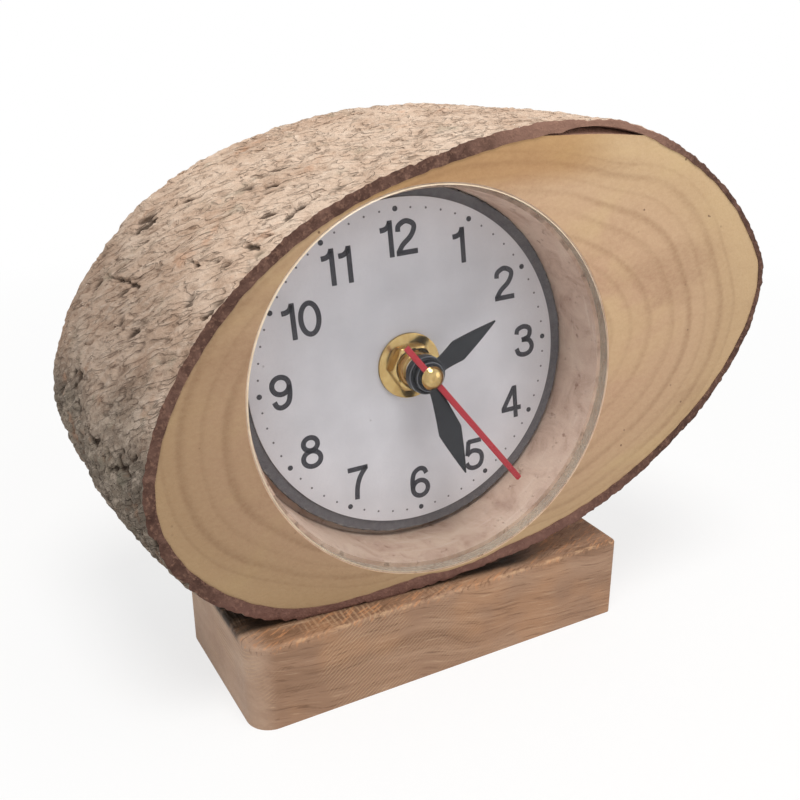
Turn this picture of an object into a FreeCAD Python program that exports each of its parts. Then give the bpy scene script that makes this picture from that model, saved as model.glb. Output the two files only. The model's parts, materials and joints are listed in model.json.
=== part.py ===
import FreeCAD, Part
import math
import os

# A wooden desk clock: an oval slice of a log, bored for a quartz clock, on a plain block.
# All lengths are in millimetres. World frame: +X to the clock's right, +Y to its back, +Z up,
# origin in the middle of the block's underside.
# The log and everything in it are drawn in the dial's own frame: x right, y into the log, z up,
# origin in the middle of the dial's printed face.

# Block
base_width = 96.0
base_depth = 45.0
base_height = 20.7
base_left_corner_radius = 5.5
base_right_corner_radius = 1.2
base_edge_radius = 0.8

# Where the dial stands over the block, and how the log leans on it
dial_right_of_base = 3.6
dial_behind_base = 3.4
dial_above_base = 45.7
log_yaw_deg = -4.6
log_lean_deg = -4.9
log_roll_deg = -3.1

# Log: an oval of twelve points, as shares of its half length and half height
oval_shares = [
    (1.0, -0.01), (0.85, 0.52), (0.67, 0.79), (0.0, 1.0), (-0.37, 0.91), (-0.79, 0.51),
    (-1.0, -0.15), (-0.76, -0.77), (-0.42, -0.92), (0.07, -1.0), (0.75, -0.64), (0.95, -0.31),
]
log_depth = 58.0
front_half_length = 77.9
front_half_height = 47.2
front_centre_x = 9.4
front_centre_z = 1.7
front_tilt_deg = 10.0
middle_half_length = 78.1
middle_half_height = 48.0
middle_centre_x = 4.1
middle_centre_z = 4.2
middle_tilt_deg = 8.0
rear_half_length = 73.7
rear_half_height = 46.0
rear_centre_x = -2.4
rear_centre_z = 8.7
rear_tilt_deg = 6.0
bark_at_ends = 1.4
bark_at_top = 1.9
bark_shift_up = 0.4

# Bore, lens and rear pocket
face_to_dial = 18.2
bore_radius = 42.0
bore_shift_x = -0.6
bore_shift_z = -0.5
lens_radius = 43.1
lens_thickness = 3.0
lens_edge_chamfer = 0.3
lens_gap = 0.1
pocket_gap = 2.0
pocket_corner_radius = 6.0

# Screws that hold the log to the block
screw_radius = 2.0
screw_head_radius = 4.0
screw_head_height = 2.2
screw_recess = 1.0
screw_length = 30.0
screw_tip_length = 4.0
screw_tip_radius = 0.4
screw_spacing = 26.0
screw_left_of_base = 25.0
screw_behind_base = 10.0

# Dial
board_radius = 41.0
board_thickness = 2.5
paper_radius = 38.4
paper_thickness = 0.4

# Bush, nut and washers
bush_radius = 4.0
bush_bore_radius = 3.0
bush_reach = 5.0
bush_flange_radius = 5.6
bush_flange_thickness = 0.7
bush_hole_gap = 0.1
washer_radius = 7.7
washer_thickness = 0.8
nut_across_flats = 10.0
nut_side_count = 6
nut_thickness = 2.8
gasket_radius = 9.0
gasket_thickness = 0.5

# Movement case
case_size = 56.0
case_depth = 16.0
case_wall = 1.2
case_corner_radius = 2.5
case_split = 11.0
bay_height = 14.7
plate_thickness = 1.0
plate_gap = 0.2
plate_post_radius = 1.5
plate_post_inset = 2.3
stator_post_radius = 1.2

# Where each layer starts behind the front of the case
hour_layer = 1.5
setting_layer = 2.8
centre_layer = 4.1
plate_layer = 5.3
third_layer = 6.8
second_layer = 8.1
step_layer = 9.4
magnet_layer = 10.8
stator_layer = 11.2
wheel_thickness = 0.8
pinion_overhang = 0.1

# Wheel centres
train_distance = 10.8
setting_distance = 12.0
step_distance = 8.64
rotor_distance = 8.4
third_direction_deg = 180.0
setting_direction_deg = 0.0
step_direction_deg = 60.0
rotor_direction_deg = 100.0

# Teeth of each mesh
rotor_tooth_count = 8
step_wheel_tooth_count = 48
step_pinion_tooth_count = 8
second_wheel_tooth_count = 40
second_pinion_tooth_count = 8
third_wheel_tooth_count = 60
third_pinion_tooth_count = 8
centre_wheel_tooth_count = 64
cannon_tooth_count = 12
setting_wheel_tooth_count = 36
setting_pinion_tooth_count = 10
hour_wheel_tooth_count = 40

# Tooth form: tip height and root depth as shares of the module, widths as shares of the pitch
pinion_tooth_shares = (0.8, 1.15, 0.22, 0.36)
wheel_tooth_shares = (0.8, 1.1, 0.16, 0.5)

# Arbors
arbor_radius = 0.5
pivot_radius = 0.4
pivot_length = 0.8
running_gap = 0.05
end_play = 0.2
hour_tube_radius = 2.95
minute_tube_radius = 2.0
centre_boss_radius = 1.5
setting_arbor_radius = 1.0
pinion_passage_radius = 2.0
magnet_radius = 2.4
magnet_length = 1.5
knob_radius = 5.0
knob_thickness = 2.6
knob_grip_count = 18
knob_tooth_shares = (0.8, 0.5, 0.5, 0.6)

# Motor and electrics
stator_thickness = 0.8
stator_left = -13.0
stator_right = 15.0
stator_bottom = 12.5
stator_leg_height = 6.5
stator_arm_height = 6.0
stator_arm_width = 3.4
rotor_hole_radius = 2.9
core_height = 2.4
winding_height = 5.0
winding_thickness = 4.4
bobbin_wall = 0.6
stator_post_inset = 2.0
board_width = 11.0
board_height = 22.0
circuit_thickness = 1.0
circuit_left = -26.0
circuit_bottom = 2.0

# Cell and contacts
cell_radius = 7.25
cell_length = 50.5
cell_button_radius = 2.75
cell_button_length = 1.0
cell_shoulder = 0.7
cell_floor_gap = 0.1
contact_thickness = 0.4
contact_width = 9.0
contact_touch_gap = 0.05
contact_boss_radius = 2.0
spring_crown_width = 4.0

# Hands, with the time that the photograph shows
hour_angle_deg = 62.7
minute_angle_deg = 164.3
second_angle_deg = 145.1
hour_length = 20.1
hour_width = 5.4
hour_neck_width = 3.6
hour_hub_radius = 4.4
hour_hub_front = 10.2
hour_hub_height = 2.4
minute_length = 25.7
minute_width = 5.8
minute_neck_width = 2.8
minute_hub_radius = 3.4
minute_hub_front = 11.8
minute_hub_height = 1.2
second_length = 35.7
second_tail = 9.8
second_width = 1.4
second_hub_radius = 1.6
second_hub_front = 12.8
second_hub_height = 0.8
hand_thickness = 0.4
widest_shares = (0.45, 0.55)
cap_radius = 2.7
cap_height = 1.6
cap_hole_depth = 0.7

# Depths in the dial's frame that follow from the sizes above
case_front = paper_thickness + board_thickness + gasket_thickness
case_back = case_front + case_depth
inner_back = case_back - case_wall
inner_half = case_size / 2 - case_wall
bay_top = bay_height - inner_half
partition_top = bay_top + case_wall
log_front = -face_to_dial
log_rear = log_front + log_depth
cell_z = bay_top - bay_height / 2
cell_y = case_front + case_wall + cell_floor_gap + cell_radius

V = FreeCAD.Vector


def layer(offset):
    return case_front + offset


def polar(distance, angle_deg, start=(0, 0)):
    a = math.radians(angle_deg)
    return (start[0] + distance * math.cos(a), start[1] + distance * math.sin(a))


centre_at = (0, 0)
third_at = polar(train_distance, third_direction_deg)
setting_at = polar(setting_distance, setting_direction_deg)
step_at = polar(step_distance, step_direction_deg)
rotor_at = polar(rotor_distance, rotor_direction_deg, step_at)


def log_placement():
    turn = FreeCAD.Rotation(V(0, 0, 1), log_yaw_deg)
    turn = turn.multiply(FreeCAD.Rotation(V(1, 0, 0), log_lean_deg))
    turn = turn.multiply(FreeCAD.Rotation(V(0, 1, 0), log_roll_deg))
    at = V(dial_right_of_base, dial_behind_base, base_height + dial_above_base)
    return FreeCAD.Placement(at, turn)


def to_world(shape):
    moved = shape.copy()
    moved.Placement = log_placement().multiply(shape.Placement)
    return moved


def rod(radius, front, back, at=(0, 0)):
    """A cylinder along the dial's axis, from one depth to another."""
    return Part.makeCylinder(radius, back - front, V(at[0], front, at[1]), V(0, 1, 0))


def ring(outer, inner, front, back, at=(0, 0)):
    return rod(outer, front, back, at).cut(rod(inner, front, back, at))


def block(left, right, front, back, bottom, top):
    return Part.makeBox(right - left, back - front, top - bottom, V(left, front, bottom))


def rounded_block(half_width, half_height, front, back, radius):
    shape = block(-half_width, half_width, front, back, -half_height, half_height)
    edges = [e for e in shape.Edges if abs(e.tangentAt(e.FirstParameter).y) > 0.5]
    return shape.makeFillet(radius, edges)


def fuse(*shapes):
    solid = shapes[0].multiFuse(list(shapes[1:])).removeSplitter()
    return solid.Solids[0] if len(solid.Solids) == 1 else solid


def prism(points, front, back):
    """A flat outline of (x, z) points given thickness from one depth to another."""
    loop = [V(x, front, z) for x, z in points]
    face = Part.Face(Part.makePolygon(loop + loop[:1]))
    return face.extrude(V(0, back - front, 0))


# Block and screws

def base_block():
    half_w = base_width / 2
    half_d = base_depth / 2
    shape = Part.makeBox(base_width, base_depth, base_height, V(-half_w, -half_d, 0))
    upright = [e for e in shape.Edges if abs(e.tangentAt(e.FirstParameter).z) > 0.5]
    left = [e for e in upright if e.CenterOfMass.x < 0]
    right = [e for e in upright if e.CenterOfMass.x > 0]
    shape = shape.makeFillet(base_left_corner_radius, left)
    corners = [e.CenterOfMass for e in right]
    right = [e for e in shape.Edges if any(e.CenterOfMass.isEqual(c, running_gap) for c in corners)]
    shape = shape.makeFillet(base_right_corner_radius, right)
    rims = [e for e in shape.Edges if abs(e.CenterOfMass.z - base_height) < running_gap]
    shape = shape.makeFillet(base_edge_radius, rims)
    for screw in screws(running_gap):
        shape = shape.cut(screw)
    for x in screw_places():
        mouth = Part.makeCylinder(screw_head_radius + running_gap, screw_recess, V(x, screw_behind_base, 0))
        shape = shape.cut(mouth)
    return shape


def screw_places():
    return (-screw_left_of_base - screw_spacing / 2, -screw_left_of_base + screw_spacing / 2)


def screw_outline(gap):
    """Half of a countersunk screw, drawn from its head up, a gap larger all round."""
    shank = screw_radius + gap
    head_top = screw_recess + screw_head_height
    tip = screw_recess + screw_length
    return [
        V(0, 0, screw_recess), V(screw_head_radius + gap, 0, screw_recess), V(shank, 0, head_top),
        V(shank, 0, tip - screw_tip_length), V(screw_tip_radius + gap, 0, tip), V(0, 0, tip),
    ]


def screws(gap=0):
    solids = []
    for x in screw_places():
        outline = screw_outline(gap)
        face = Part.Face(Part.makePolygon(outline + outline[:1]))
        solid = face.revolve(V(0, 0, 0), V(0, 0, 1), 360)
        solid.translate(V(x, screw_behind_base, 0))
        solids.append(solid)
    return solids


# Log

def oval(half_length, half_height, centre_x, centre_z, tilt_deg, depth):
    """The log's outline at one depth: a closed smooth curve through twelve points."""
    a = math.radians(tilt_deg)
    points = []
    for along, across in oval_shares:
        s = along * half_length
        t = across * half_height
        x = centre_x + s * math.cos(a) - t * math.sin(a)
        z = centre_z + s * math.sin(a) + t * math.cos(a)
        points.append(V(x, depth, z))
    curve = Part.BSplineCurve()
    curve.interpolate(points, PeriodicFlag=True)
    return Part.Wire(curve.toShape())


def log_blank(off_ends, off_top, up):
    middle = (log_front + log_rear) / 2
    front = oval(front_half_length - off_ends, front_half_height - off_top,
                 front_centre_x, front_centre_z + up, front_tilt_deg, log_front)
    mid = oval(middle_half_length - off_ends, middle_half_height - off_top,
               middle_centre_x, middle_centre_z + up, middle_tilt_deg, middle)
    rear = oval(rear_half_length - off_ends, rear_half_height - off_top,
                rear_centre_x, rear_centre_z + up, rear_tilt_deg, log_rear)
    return Part.makeLoft([front, mid, rear], True, False)


def bore_cut():
    at = (bore_shift_x, bore_shift_z)
    floor = paper_thickness + board_thickness
    rebate = rod(lens_radius + lens_gap, log_front, log_front + lens_thickness, at)
    bore = rod(bore_radius, log_front, floor, at)
    half = case_size / 2 + pocket_gap
    pocket = rounded_block(half, half, floor, log_rear, pocket_corner_radius)
    return rebate, bore, pocket


def log_wood():
    wood = log_blank(bark_at_ends, bark_at_top, bark_shift_up)
    for cut in bore_cut():
        wood = wood.cut(cut)
    wood = to_world(wood)
    for screw in screws():
        wood = wood.cut(screw)
    return wood


def log_bark():
    bark = log_blank(0, 0, 0).cut(log_blank(bark_at_ends, bark_at_top, bark_shift_up))
    bark = to_world(bark)
    seat = Part.makeBox(base_width, base_depth, base_height, V(-base_width / 2, -base_depth / 2, 0))
    bark = bark.cut(seat)
    for screw in screws():
        bark = bark.cut(screw)
    return bark


# Lens and dial

def lens():
    disc = rod(lens_radius, log_front, log_front + lens_thickness, (bore_shift_x, bore_shift_z))
    rim = [e for e in disc.Edges if abs(e.CenterOfMass.y - log_front) < running_gap]
    return disc.makeChamfer(lens_edge_chamfer, rim)


def dial_board():
    hole = bush_radius + bush_hole_gap
    return ring(board_radius, hole, paper_thickness, paper_thickness + board_thickness)


def dial_paper():
    return ring(paper_radius, bush_radius + bush_hole_gap, 0, paper_thickness)


def brass_washer():
    return ring(washer_radius, bush_radius + bush_hole_gap, -washer_thickness, 0)


def hex_nut():
    flat = nut_across_flats / 2
    corner = flat / math.cos(math.pi / nut_side_count)
    points = [polar(corner, i * 360 / nut_side_count) for i in range(nut_side_count)]
    front = -washer_thickness - nut_thickness
    body = prism(points, front, -washer_thickness)
    wide = corner + nut_thickness
    cone = Part.makeCone(flat, wide, wide - flat, V(0, front, 0), V(0, 1, 0))
    return body.common(cone).cut(rod(bush_radius, front, 0))


def threaded_bush():
    flange_front = case_front + case_wall - bush_flange_thickness
    tube = rod(bush_radius, -bush_reach, case_front + case_wall)
    flange = rod(bush_flange_radius, flange_front, case_front + case_wall)
    return fuse(tube, flange).cut(rod(bush_bore_radius, -bush_reach, case_front + case_wall))


def rubber_washer():
    return ring(gasket_radius, bush_radius + bush_hole_gap, case_front - gasket_thickness, case_front)


# Movement case

def plate_posts():
    x = inner_half - plate_post_inset
    low = partition_top + plate_post_inset
    return [(-x, low), (x, low), (-x, x), (x, x)]


def pivot_hole(at, front, back):
    return rod(pivot_radius + running_gap, front, back, at)


def front_case():
    half = case_size / 2
    split = layer(case_split)
    shell = rounded_block(half, half, case_front, split, case_corner_radius)
    works = block(-inner_half, inner_half, case_front + case_wall, split, partition_top, inner_half)
    bay = block(-inner_half, inner_half, case_front + case_wall, split, -inner_half, bay_top)
    shell = shell.cut(works).cut(bay)
    for at in plate_posts():
        shell = fuse(shell, rod(plate_post_radius, case_front + case_wall, layer(plate_layer), at))
    shell = shell.cut(rod(bush_radius, case_front, case_front + case_wall))
    seat = case_front + case_wall - bush_flange_thickness
    shell = shell.cut(rod(bush_flange_radius, seat, case_front + case_wall))
    hole_bottom = case_front + case_wall - pivot_length
    for at in (third_at, setting_at):
        shell = shell.cut(pivot_hole(at, hole_bottom, case_front + case_wall))
    return shell


def middle_plate():
    front = layer(plate_layer)
    back = front + plate_thickness
    half = inner_half - plate_gap
    plate = block(-half, half, front, back, partition_top + plate_gap, half)
    plate = plate.cut(rod(centre_boss_radius + running_gap, front, back, centre_at))
    plate = plate.cut(rod(pinion_passage_radius, front, back, third_at))
    plate = plate.cut(rod(setting_arbor_radius + running_gap, front, back, setting_at))
    for at in (step_at, rotor_at):
        plate = plate.cut(pivot_hole(at, front, back))
    return plate


def stator_posts():
    z = stator_bottom + stator_leg_height / 2
    return [(stator_left + stator_post_inset, z), (stator_right - stator_post_inset, z)]


def rear_case():
    half = case_size / 2
    split = layer(case_split)
    shell = rounded_block(half, half, split, case_back, case_corner_radius)
    works = block(-inner_half, inner_half, split, inner_back, partition_top, inner_half)
    bay = block(-inner_half, inner_half, split, case_back, -inner_half, bay_top)
    shell = shell.cut(works).cut(bay)
    for at in stator_posts():
        shell = fuse(shell, rod(stator_post_radius, layer(stator_layer) + stator_thickness, inner_back, at))
    for at in (centre_at, third_at, step_at, rotor_at):
        shell = shell.cut(pivot_hole(at, inner_back, inner_back + pivot_length))
    return shell.cut(rod(setting_arbor_radius + running_gap, inner_back, case_back, setting_at))


# Wheels

def gear(teeth, module, shares, front, back, at, first_tooth_deg):
    """A toothed disc with straight flanks, one tooth standing at first_tooth_deg."""
    tip_share, root_share, tip_width_share, root_width_share = shares
    tip = module * (teeth / 2 + tip_share)
    root = module * (teeth / 2 - root_share)
    pitch = 360 / teeth
    points = []
    for i in range(teeth):
        middle = first_tooth_deg + i * pitch
        points.append(polar(root, middle - root_width_share * pitch / 2, at))
        points.append(polar(tip, middle - tip_width_share * pitch / 2, at))
        points.append(polar(tip, middle + tip_width_share * pitch / 2, at))
        points.append(polar(root, middle + root_width_share * pitch / 2, at))
    return prism(points, front, back)


def module_of(distance, teeth_a, teeth_b):
    return 2 * distance / (teeth_a + teeth_b)


def wheel(teeth, mate_tooth_count, distance, direction_deg, at, start):
    """A wheel whose mate's pinion lies at direction_deg: a gap faces the pinion's tooth."""
    module = module_of(distance, teeth, mate_tooth_count)
    first = direction_deg + 180 / teeth
    return gear(teeth, module, wheel_tooth_shares, layer(start), layer(start) + wheel_thickness, at, first)


def pinion(teeth, mate_tooth_count, distance, direction_deg, at, start, end):
    """A pinion whose mate lies at direction_deg: a tooth points at it."""
    module = module_of(distance, teeth, mate_tooth_count)
    return gear(teeth, module, pinion_tooth_shares, start, end, at, direction_deg)


def rear_pivot(at, front):
    shoulder = rod(arbor_radius, front, inner_back - end_play, at)
    return shoulder, rod(pivot_radius, front, inner_back + pivot_length - end_play, at)


def front_pivot(at, back):
    start = case_front + case_wall - pivot_length + end_play
    return rod(arbor_radius, case_front + case_wall + end_play, back, at), rod(pivot_radius, start, back, at)


def plate_pivot(at, back):
    start = layer(plate_layer) + plate_thickness
    return rod(arbor_radius, start + end_play, back, at), rod(pivot_radius, start - pivot_length, back, at)


def rotor():
    toothed = pinion(rotor_tooth_count, step_wheel_tooth_count, rotor_distance, rotor_direction_deg + 180,
                     rotor_at, layer(step_layer) - pinion_overhang, layer(magnet_layer))
    magnet = rod(magnet_radius, layer(magnet_layer), layer(magnet_layer) + magnet_length, rotor_at)
    back = layer(magnet_layer)
    return fuse(toothed, magnet, *plate_pivot(rotor_at, back), *rear_pivot(rotor_at, back))


def step_wheel():
    disc = wheel(step_wheel_tooth_count, rotor_tooth_count, rotor_distance, rotor_direction_deg,
                 step_at, step_layer)
    small = pinion(step_pinion_tooth_count, second_wheel_tooth_count, step_distance, step_direction_deg + 180,
                   step_at, layer(second_layer) - pinion_overhang, layer(step_layer))
    back = layer(step_layer)
    return fuse(disc, small, *plate_pivot(step_at, back), *rear_pivot(step_at, back))


def second_wheel():
    disc = wheel(second_wheel_tooth_count, step_pinion_tooth_count, step_distance, step_direction_deg,
                 centre_at, second_layer)
    small = pinion(second_pinion_tooth_count, third_wheel_tooth_count, train_distance, third_direction_deg,
                   centre_at, layer(third_layer) - pinion_overhang, layer(second_layer))
    back = layer(second_layer)
    arbor = rod(arbor_radius, -second_hub_front - cap_hole_depth, back)
    return fuse(disc, small, arbor, *rear_pivot(centre_at, back))


def third_wheel():
    to_centre = third_direction_deg + 180
    disc = wheel(third_wheel_tooth_count, second_pinion_tooth_count, train_distance, to_centre,
                 third_at, third_layer)
    small = pinion(third_pinion_tooth_count, centre_wheel_tooth_count, train_distance, to_centre,
                   third_at, layer(centre_layer) - pinion_overhang, layer(third_layer))
    back = layer(third_layer)
    return fuse(disc, small, *front_pivot(third_at, back), *rear_pivot(third_at, back))


def centre_wheel():
    disc = wheel(centre_wheel_tooth_count, third_pinion_tooth_count, train_distance, third_direction_deg,
                 centre_at, centre_layer)
    cannon = pinion(cannon_tooth_count, setting_wheel_tooth_count, setting_distance, setting_direction_deg,
                    centre_at, layer(setting_layer) - pinion_overhang, layer(centre_layer))
    boss_back = layer(plate_layer) + plate_thickness
    boss = rod(centre_boss_radius, layer(centre_layer), boss_back)
    tube = rod(minute_tube_radius, -minute_hub_front, layer(centre_layer))
    bore = rod(arbor_radius + running_gap, -minute_hub_front, boss_back)
    return fuse(disc, cannon, boss, tube).cut(bore)


def setting_wheel():
    to_centre = setting_direction_deg + 180
    disc = wheel(setting_wheel_tooth_count, cannon_tooth_count, setting_distance, to_centre,
                 setting_at, setting_layer)
    small = pinion(setting_pinion_tooth_count, hour_wheel_tooth_count, setting_distance, to_centre,
                   setting_at, layer(hour_layer) - pinion_overhang, layer(setting_layer))
    stem = rod(setting_arbor_radius, layer(setting_layer), case_back + knob_thickness, setting_at)
    return fuse(disc, small, stem, *front_pivot(setting_at, layer(setting_layer)))


def setting_knob():
    front = case_back + running_gap
    module = 2 * knob_radius / knob_grip_count
    grip = gear(knob_grip_count, module, knob_tooth_shares, front, case_back + knob_thickness, setting_at, 0)
    return grip.cut(rod(setting_arbor_radius, front, case_back + knob_thickness, setting_at))


def hour_wheel():
    disc = wheel(hour_wheel_tooth_count, setting_pinion_tooth_count, setting_distance, setting_direction_deg,
                 centre_at, hour_layer)
    back = layer(hour_layer) + wheel_thickness
    tube = rod(hour_tube_radius, -hour_hub_front, back)
    return fuse(disc, tube).cut(rod(minute_tube_radius + running_gap, -hour_hub_front, back))


# Motor and electrics

def stator():
    front = layer(stator_layer)
    back = front + stator_thickness
    leg_top = stator_bottom + stator_leg_height
    arm_top = leg_top + stator_arm_height
    plate = block(stator_left, stator_right, front, back, stator_bottom, arm_top)
    left, right = coil_span()
    window = block(left, right, front, back, leg_top, arm_top)
    return plate.cut(window).cut(rod(rotor_hole_radius, front, back, rotor_at))


def core_z():
    return stator_bottom + stator_leg_height + stator_arm_height / 2


def coil_core():
    front = layer(stator_layer) + stator_thickness
    half = core_height / 2
    return block(stator_left, stator_right, front, front + stator_thickness, core_z() - half, core_z() + half)


def coil_part(left, right, height, thickness):
    middle = layer(stator_layer) + stator_thickness + stator_thickness / 2
    shape = block(left, right, middle - thickness / 2, middle + thickness / 2,
                  core_z() - height / 2, core_z() + height / 2)
    return shape.cut(coil_core())


def coil_span():
    return stator_left + stator_arm_width, stator_right - stator_arm_width


def coil_bobbin():
    left, right = coil_span()
    sleeve_height = core_height + 2 * bobbin_wall
    sleeve_thickness = stator_thickness + 2 * bobbin_wall
    return fuse(coil_part(left, left + bobbin_wall, winding_height, winding_thickness),
                coil_part(right - bobbin_wall, right, winding_height, winding_thickness),
                coil_part(left, right, sleeve_height, sleeve_thickness))


def coil_winding():
    left, right = coil_span()
    height = winding_height - bobbin_wall
    thickness = winding_thickness - bobbin_wall
    return coil_part(left + bobbin_wall, right - bobbin_wall, height, thickness).cut(coil_bobbin())


def circuit_board():
    return block(circuit_left, circuit_left + board_width, inner_back - circuit_thickness, inner_back,
                 circuit_bottom, circuit_bottom + board_height)


def cell():
    """A round cell lying along x, its positive button to the right."""
    half = cell_length / 2
    shoulder = half - cell_button_length
    outline = [
        V(-half, 0, 0), V(-half, 0, cell_radius - cell_shoulder), V(-half + cell_shoulder, 0, cell_radius),
        V(shoulder - cell_shoulder, 0, cell_radius), V(shoulder, 0, cell_radius - cell_shoulder),
        V(shoulder, 0, cell_button_radius), V(half, 0, cell_button_radius), V(half, 0, 0),
    ]
    face = Part.Face(Part.makePolygon(outline + outline[:1]))
    solid = face.revolve(V(0, 0, 0), V(1, 0, 0), 360)
    solid.translate(V(0, cell_y, cell_z))
    return solid


def contact_block(inner, outer):
    """A strip standing against an end wall of the bay; inner and outer are its x faces."""
    half = contact_width / 2
    left, right = sorted((inner, outer))
    return block(left, right, cell_y - half, cell_y + half, cell_z - half, cell_z + half)


def positive_contact():
    wall = inner_half
    touch = cell_length / 2 + contact_touch_gap
    boss = Part.makeCylinder(contact_boss_radius, wall - touch, V(touch, cell_y, cell_z), V(1, 0, 0))
    return fuse(contact_block(wall - contact_thickness, wall), boss)


def negative_contact():
    """A strip with a bowed spring leaf that reaches the cell's flat end."""
    wall = -inner_half
    crown = -cell_length / 2 - contact_touch_gap
    half = contact_width / 2
    crown_half = spring_crown_width / 2
    foot = wall + contact_thickness
    outer = [(foot, -half), (crown, -crown_half), (crown, crown_half), (foot, half)]
    inner = [(foot, half - contact_thickness), (crown - contact_thickness, crown_half),
             (crown - contact_thickness, -crown_half), (foot, contact_thickness - half)]
    points = [(x, z + cell_z) for x, z in outer + inner]
    leaf = prism(points, cell_y - crown_half, cell_y + crown_half)
    return fuse(contact_block(wall, foot), leaf)


# Hands

def turned(shape, clock_deg):
    """Turns a hand drawn at twelve o'clock to its place, clockwise seen from the front."""
    moved = shape.copy()
    moved.rotate(V(0, 0, 0), V(0, 1, 0), clock_deg)
    return moved


def pointed_hand(length, width, neck, widest_share, hub_radius, tube_radius, front, hub_height, clock_deg):
    outline = [(-neck / 2, 0), (-neck / 2, hub_radius), (-width / 2, widest_share * length), (0, length),
               (width / 2, widest_share * length), (neck / 2, hub_radius), (neck / 2, 0)]
    blade = prism(outline, -front, -front + hand_thickness)
    hub = rod(hub_radius, -front, -front + hub_height)
    hand = fuse(blade, hub).cut(rod(tube_radius, -front, -front + hub_height))
    return turned(hand, clock_deg)


def hour_hand():
    return pointed_hand(hour_length, hour_width, hour_neck_width, widest_shares[0], hour_hub_radius,
                        hour_tube_radius, hour_hub_front, hour_hub_height, hour_angle_deg)


def minute_hand():
    return pointed_hand(minute_length, minute_width, minute_neck_width, widest_shares[1], minute_hub_radius,
                        minute_tube_radius, minute_hub_front, minute_hub_height, minute_angle_deg)


def second_hand():
    half = second_width / 2
    front = -second_hub_front
    strip = block(-half, half, front, front + hand_thickness, -second_tail, second_length)
    hub = rod(second_hub_radius, front, front + second_hub_height)
    hole = rod(arbor_radius, front, front + second_hub_height)
    return turned(fuse(strip, hub).cut(hole), second_angle_deg)


def second_cap():
    ball = (cap_radius ** 2 + cap_height ** 2) / (2 * cap_height)
    back = -second_hub_front
    dome = Part.makeSphere(ball, V(0, back - cap_height + ball, 0))
    dome = dome.common(rod(cap_radius + cap_height, back - cap_height, back))
    return dome.cut(rod(arbor_radius, back - cap_hole_depth, back))


def clock_pieces():
    """Every piece inside the log, by node name, in the dial's frame."""
    return {
        "lens": lens(),
        "dial_board": dial_board(),
        "dial_face": dial_paper(),
        "brass_washer": brass_washer(),
        "hex_nut": hex_nut(),
        "threaded_bush": threaded_bush(),
        "rubber_washer": rubber_washer(),
        "front_case": front_case(),
        "middle_plate": middle_plate(),
        "rear_case": rear_case(),
        "rotor": rotor(),
        "step_wheel": step_wheel(),
        "second_wheel": second_wheel(),
        "third_wheel": third_wheel(),
        "centre_wheel": centre_wheel(),
        "setting_wheel": setting_wheel(),
        "setting_knob": setting_knob(),
        "hour_wheel": hour_wheel(),
        "stator": stator(),
        "coil_core": coil_core(),
        "coil_bobbin": coil_bobbin(),
        "coil_winding": coil_winding(),
        "circuit_board": circuit_board(),
        "cell": cell(),
        "positive_contact": positive_contact(),
        "negative_contact": negative_contact(),
        "hour_hand": hour_hand(),
        "minute_hand": minute_hand(),
        "second_hand": second_hand(),
        "second_cap": second_cap(),
    }


def main():
    os.makedirs("parts", exist_ok=True)
    pieces = {name: to_world(shape) for name, shape in clock_pieces().items()}
    pieces["base_block"] = base_block()
    pieces["base_screws"] = Part.makeCompound(screws())
    pieces["log_wood"] = log_wood()
    pieces["log_bark"] = log_bark()
    for name, shape in pieces.items():
        shape.exportStep("parts/" + name + ".step")
        print(name, "solids", len(shape.Solids), "valid", shape.isValid(), "volume", round(shape.Volume, 2))


main()
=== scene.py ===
import json
import math

import bmesh
import bpy
from mathutils import Matrix, Vector, noise
from mathutils.bvhtree import BVHTree


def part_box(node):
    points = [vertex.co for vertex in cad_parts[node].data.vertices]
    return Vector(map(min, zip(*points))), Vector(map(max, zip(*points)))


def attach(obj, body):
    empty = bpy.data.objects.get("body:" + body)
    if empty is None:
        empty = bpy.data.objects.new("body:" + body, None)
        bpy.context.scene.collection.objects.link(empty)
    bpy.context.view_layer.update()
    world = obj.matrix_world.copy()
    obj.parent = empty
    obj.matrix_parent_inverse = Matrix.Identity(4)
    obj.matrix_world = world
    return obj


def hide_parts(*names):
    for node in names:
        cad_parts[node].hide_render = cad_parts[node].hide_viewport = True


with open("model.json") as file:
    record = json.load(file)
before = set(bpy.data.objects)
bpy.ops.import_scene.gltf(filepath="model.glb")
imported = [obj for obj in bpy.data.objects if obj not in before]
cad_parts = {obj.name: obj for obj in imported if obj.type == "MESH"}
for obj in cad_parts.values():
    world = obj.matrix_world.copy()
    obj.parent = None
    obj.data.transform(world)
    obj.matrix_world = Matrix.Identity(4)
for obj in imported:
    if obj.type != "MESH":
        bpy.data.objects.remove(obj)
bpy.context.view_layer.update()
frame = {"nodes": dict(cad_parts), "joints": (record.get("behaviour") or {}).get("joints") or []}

# The dial's own frame, worked out from the joints: x right, y into the log, z up.
# Sizes below are in millimetres in that frame, with the printed face of the dial at y = 0.
MM = 0.001
joints = {j["name"]: j for j in frame["joints"]}
dial_centre = Vector(joints["second_spin"]["pos_m"])
dial_inward = Vector(joints["second_spin"]["axis"]).normalized()
dial_right = (dial_centre - Vector(joints["third_spin"]["pos_m"])).normalized()
DIAL = Matrix((dial_right, dial_inward, dial_right.cross(dial_inward))).transposed().to_4x4()
DIAL.translation = dial_centre
TO_DIAL = DIAL.inverted()


def place(x, y, z):
    return DIAL @ (Vector((x, y, z)) * MM)


def dial_points(node):
    """A CAD node's corners in the dial's frame, in millimetres."""
    return [(TO_DIAL @ v.co) / MM for v in frame["nodes"][node].data.vertices]


def depth_range(node):
    depths = [p.y for p in dial_points(node)]
    return min(depths), max(depths)


# Materials: short calls for the nodes that this script uses

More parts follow.
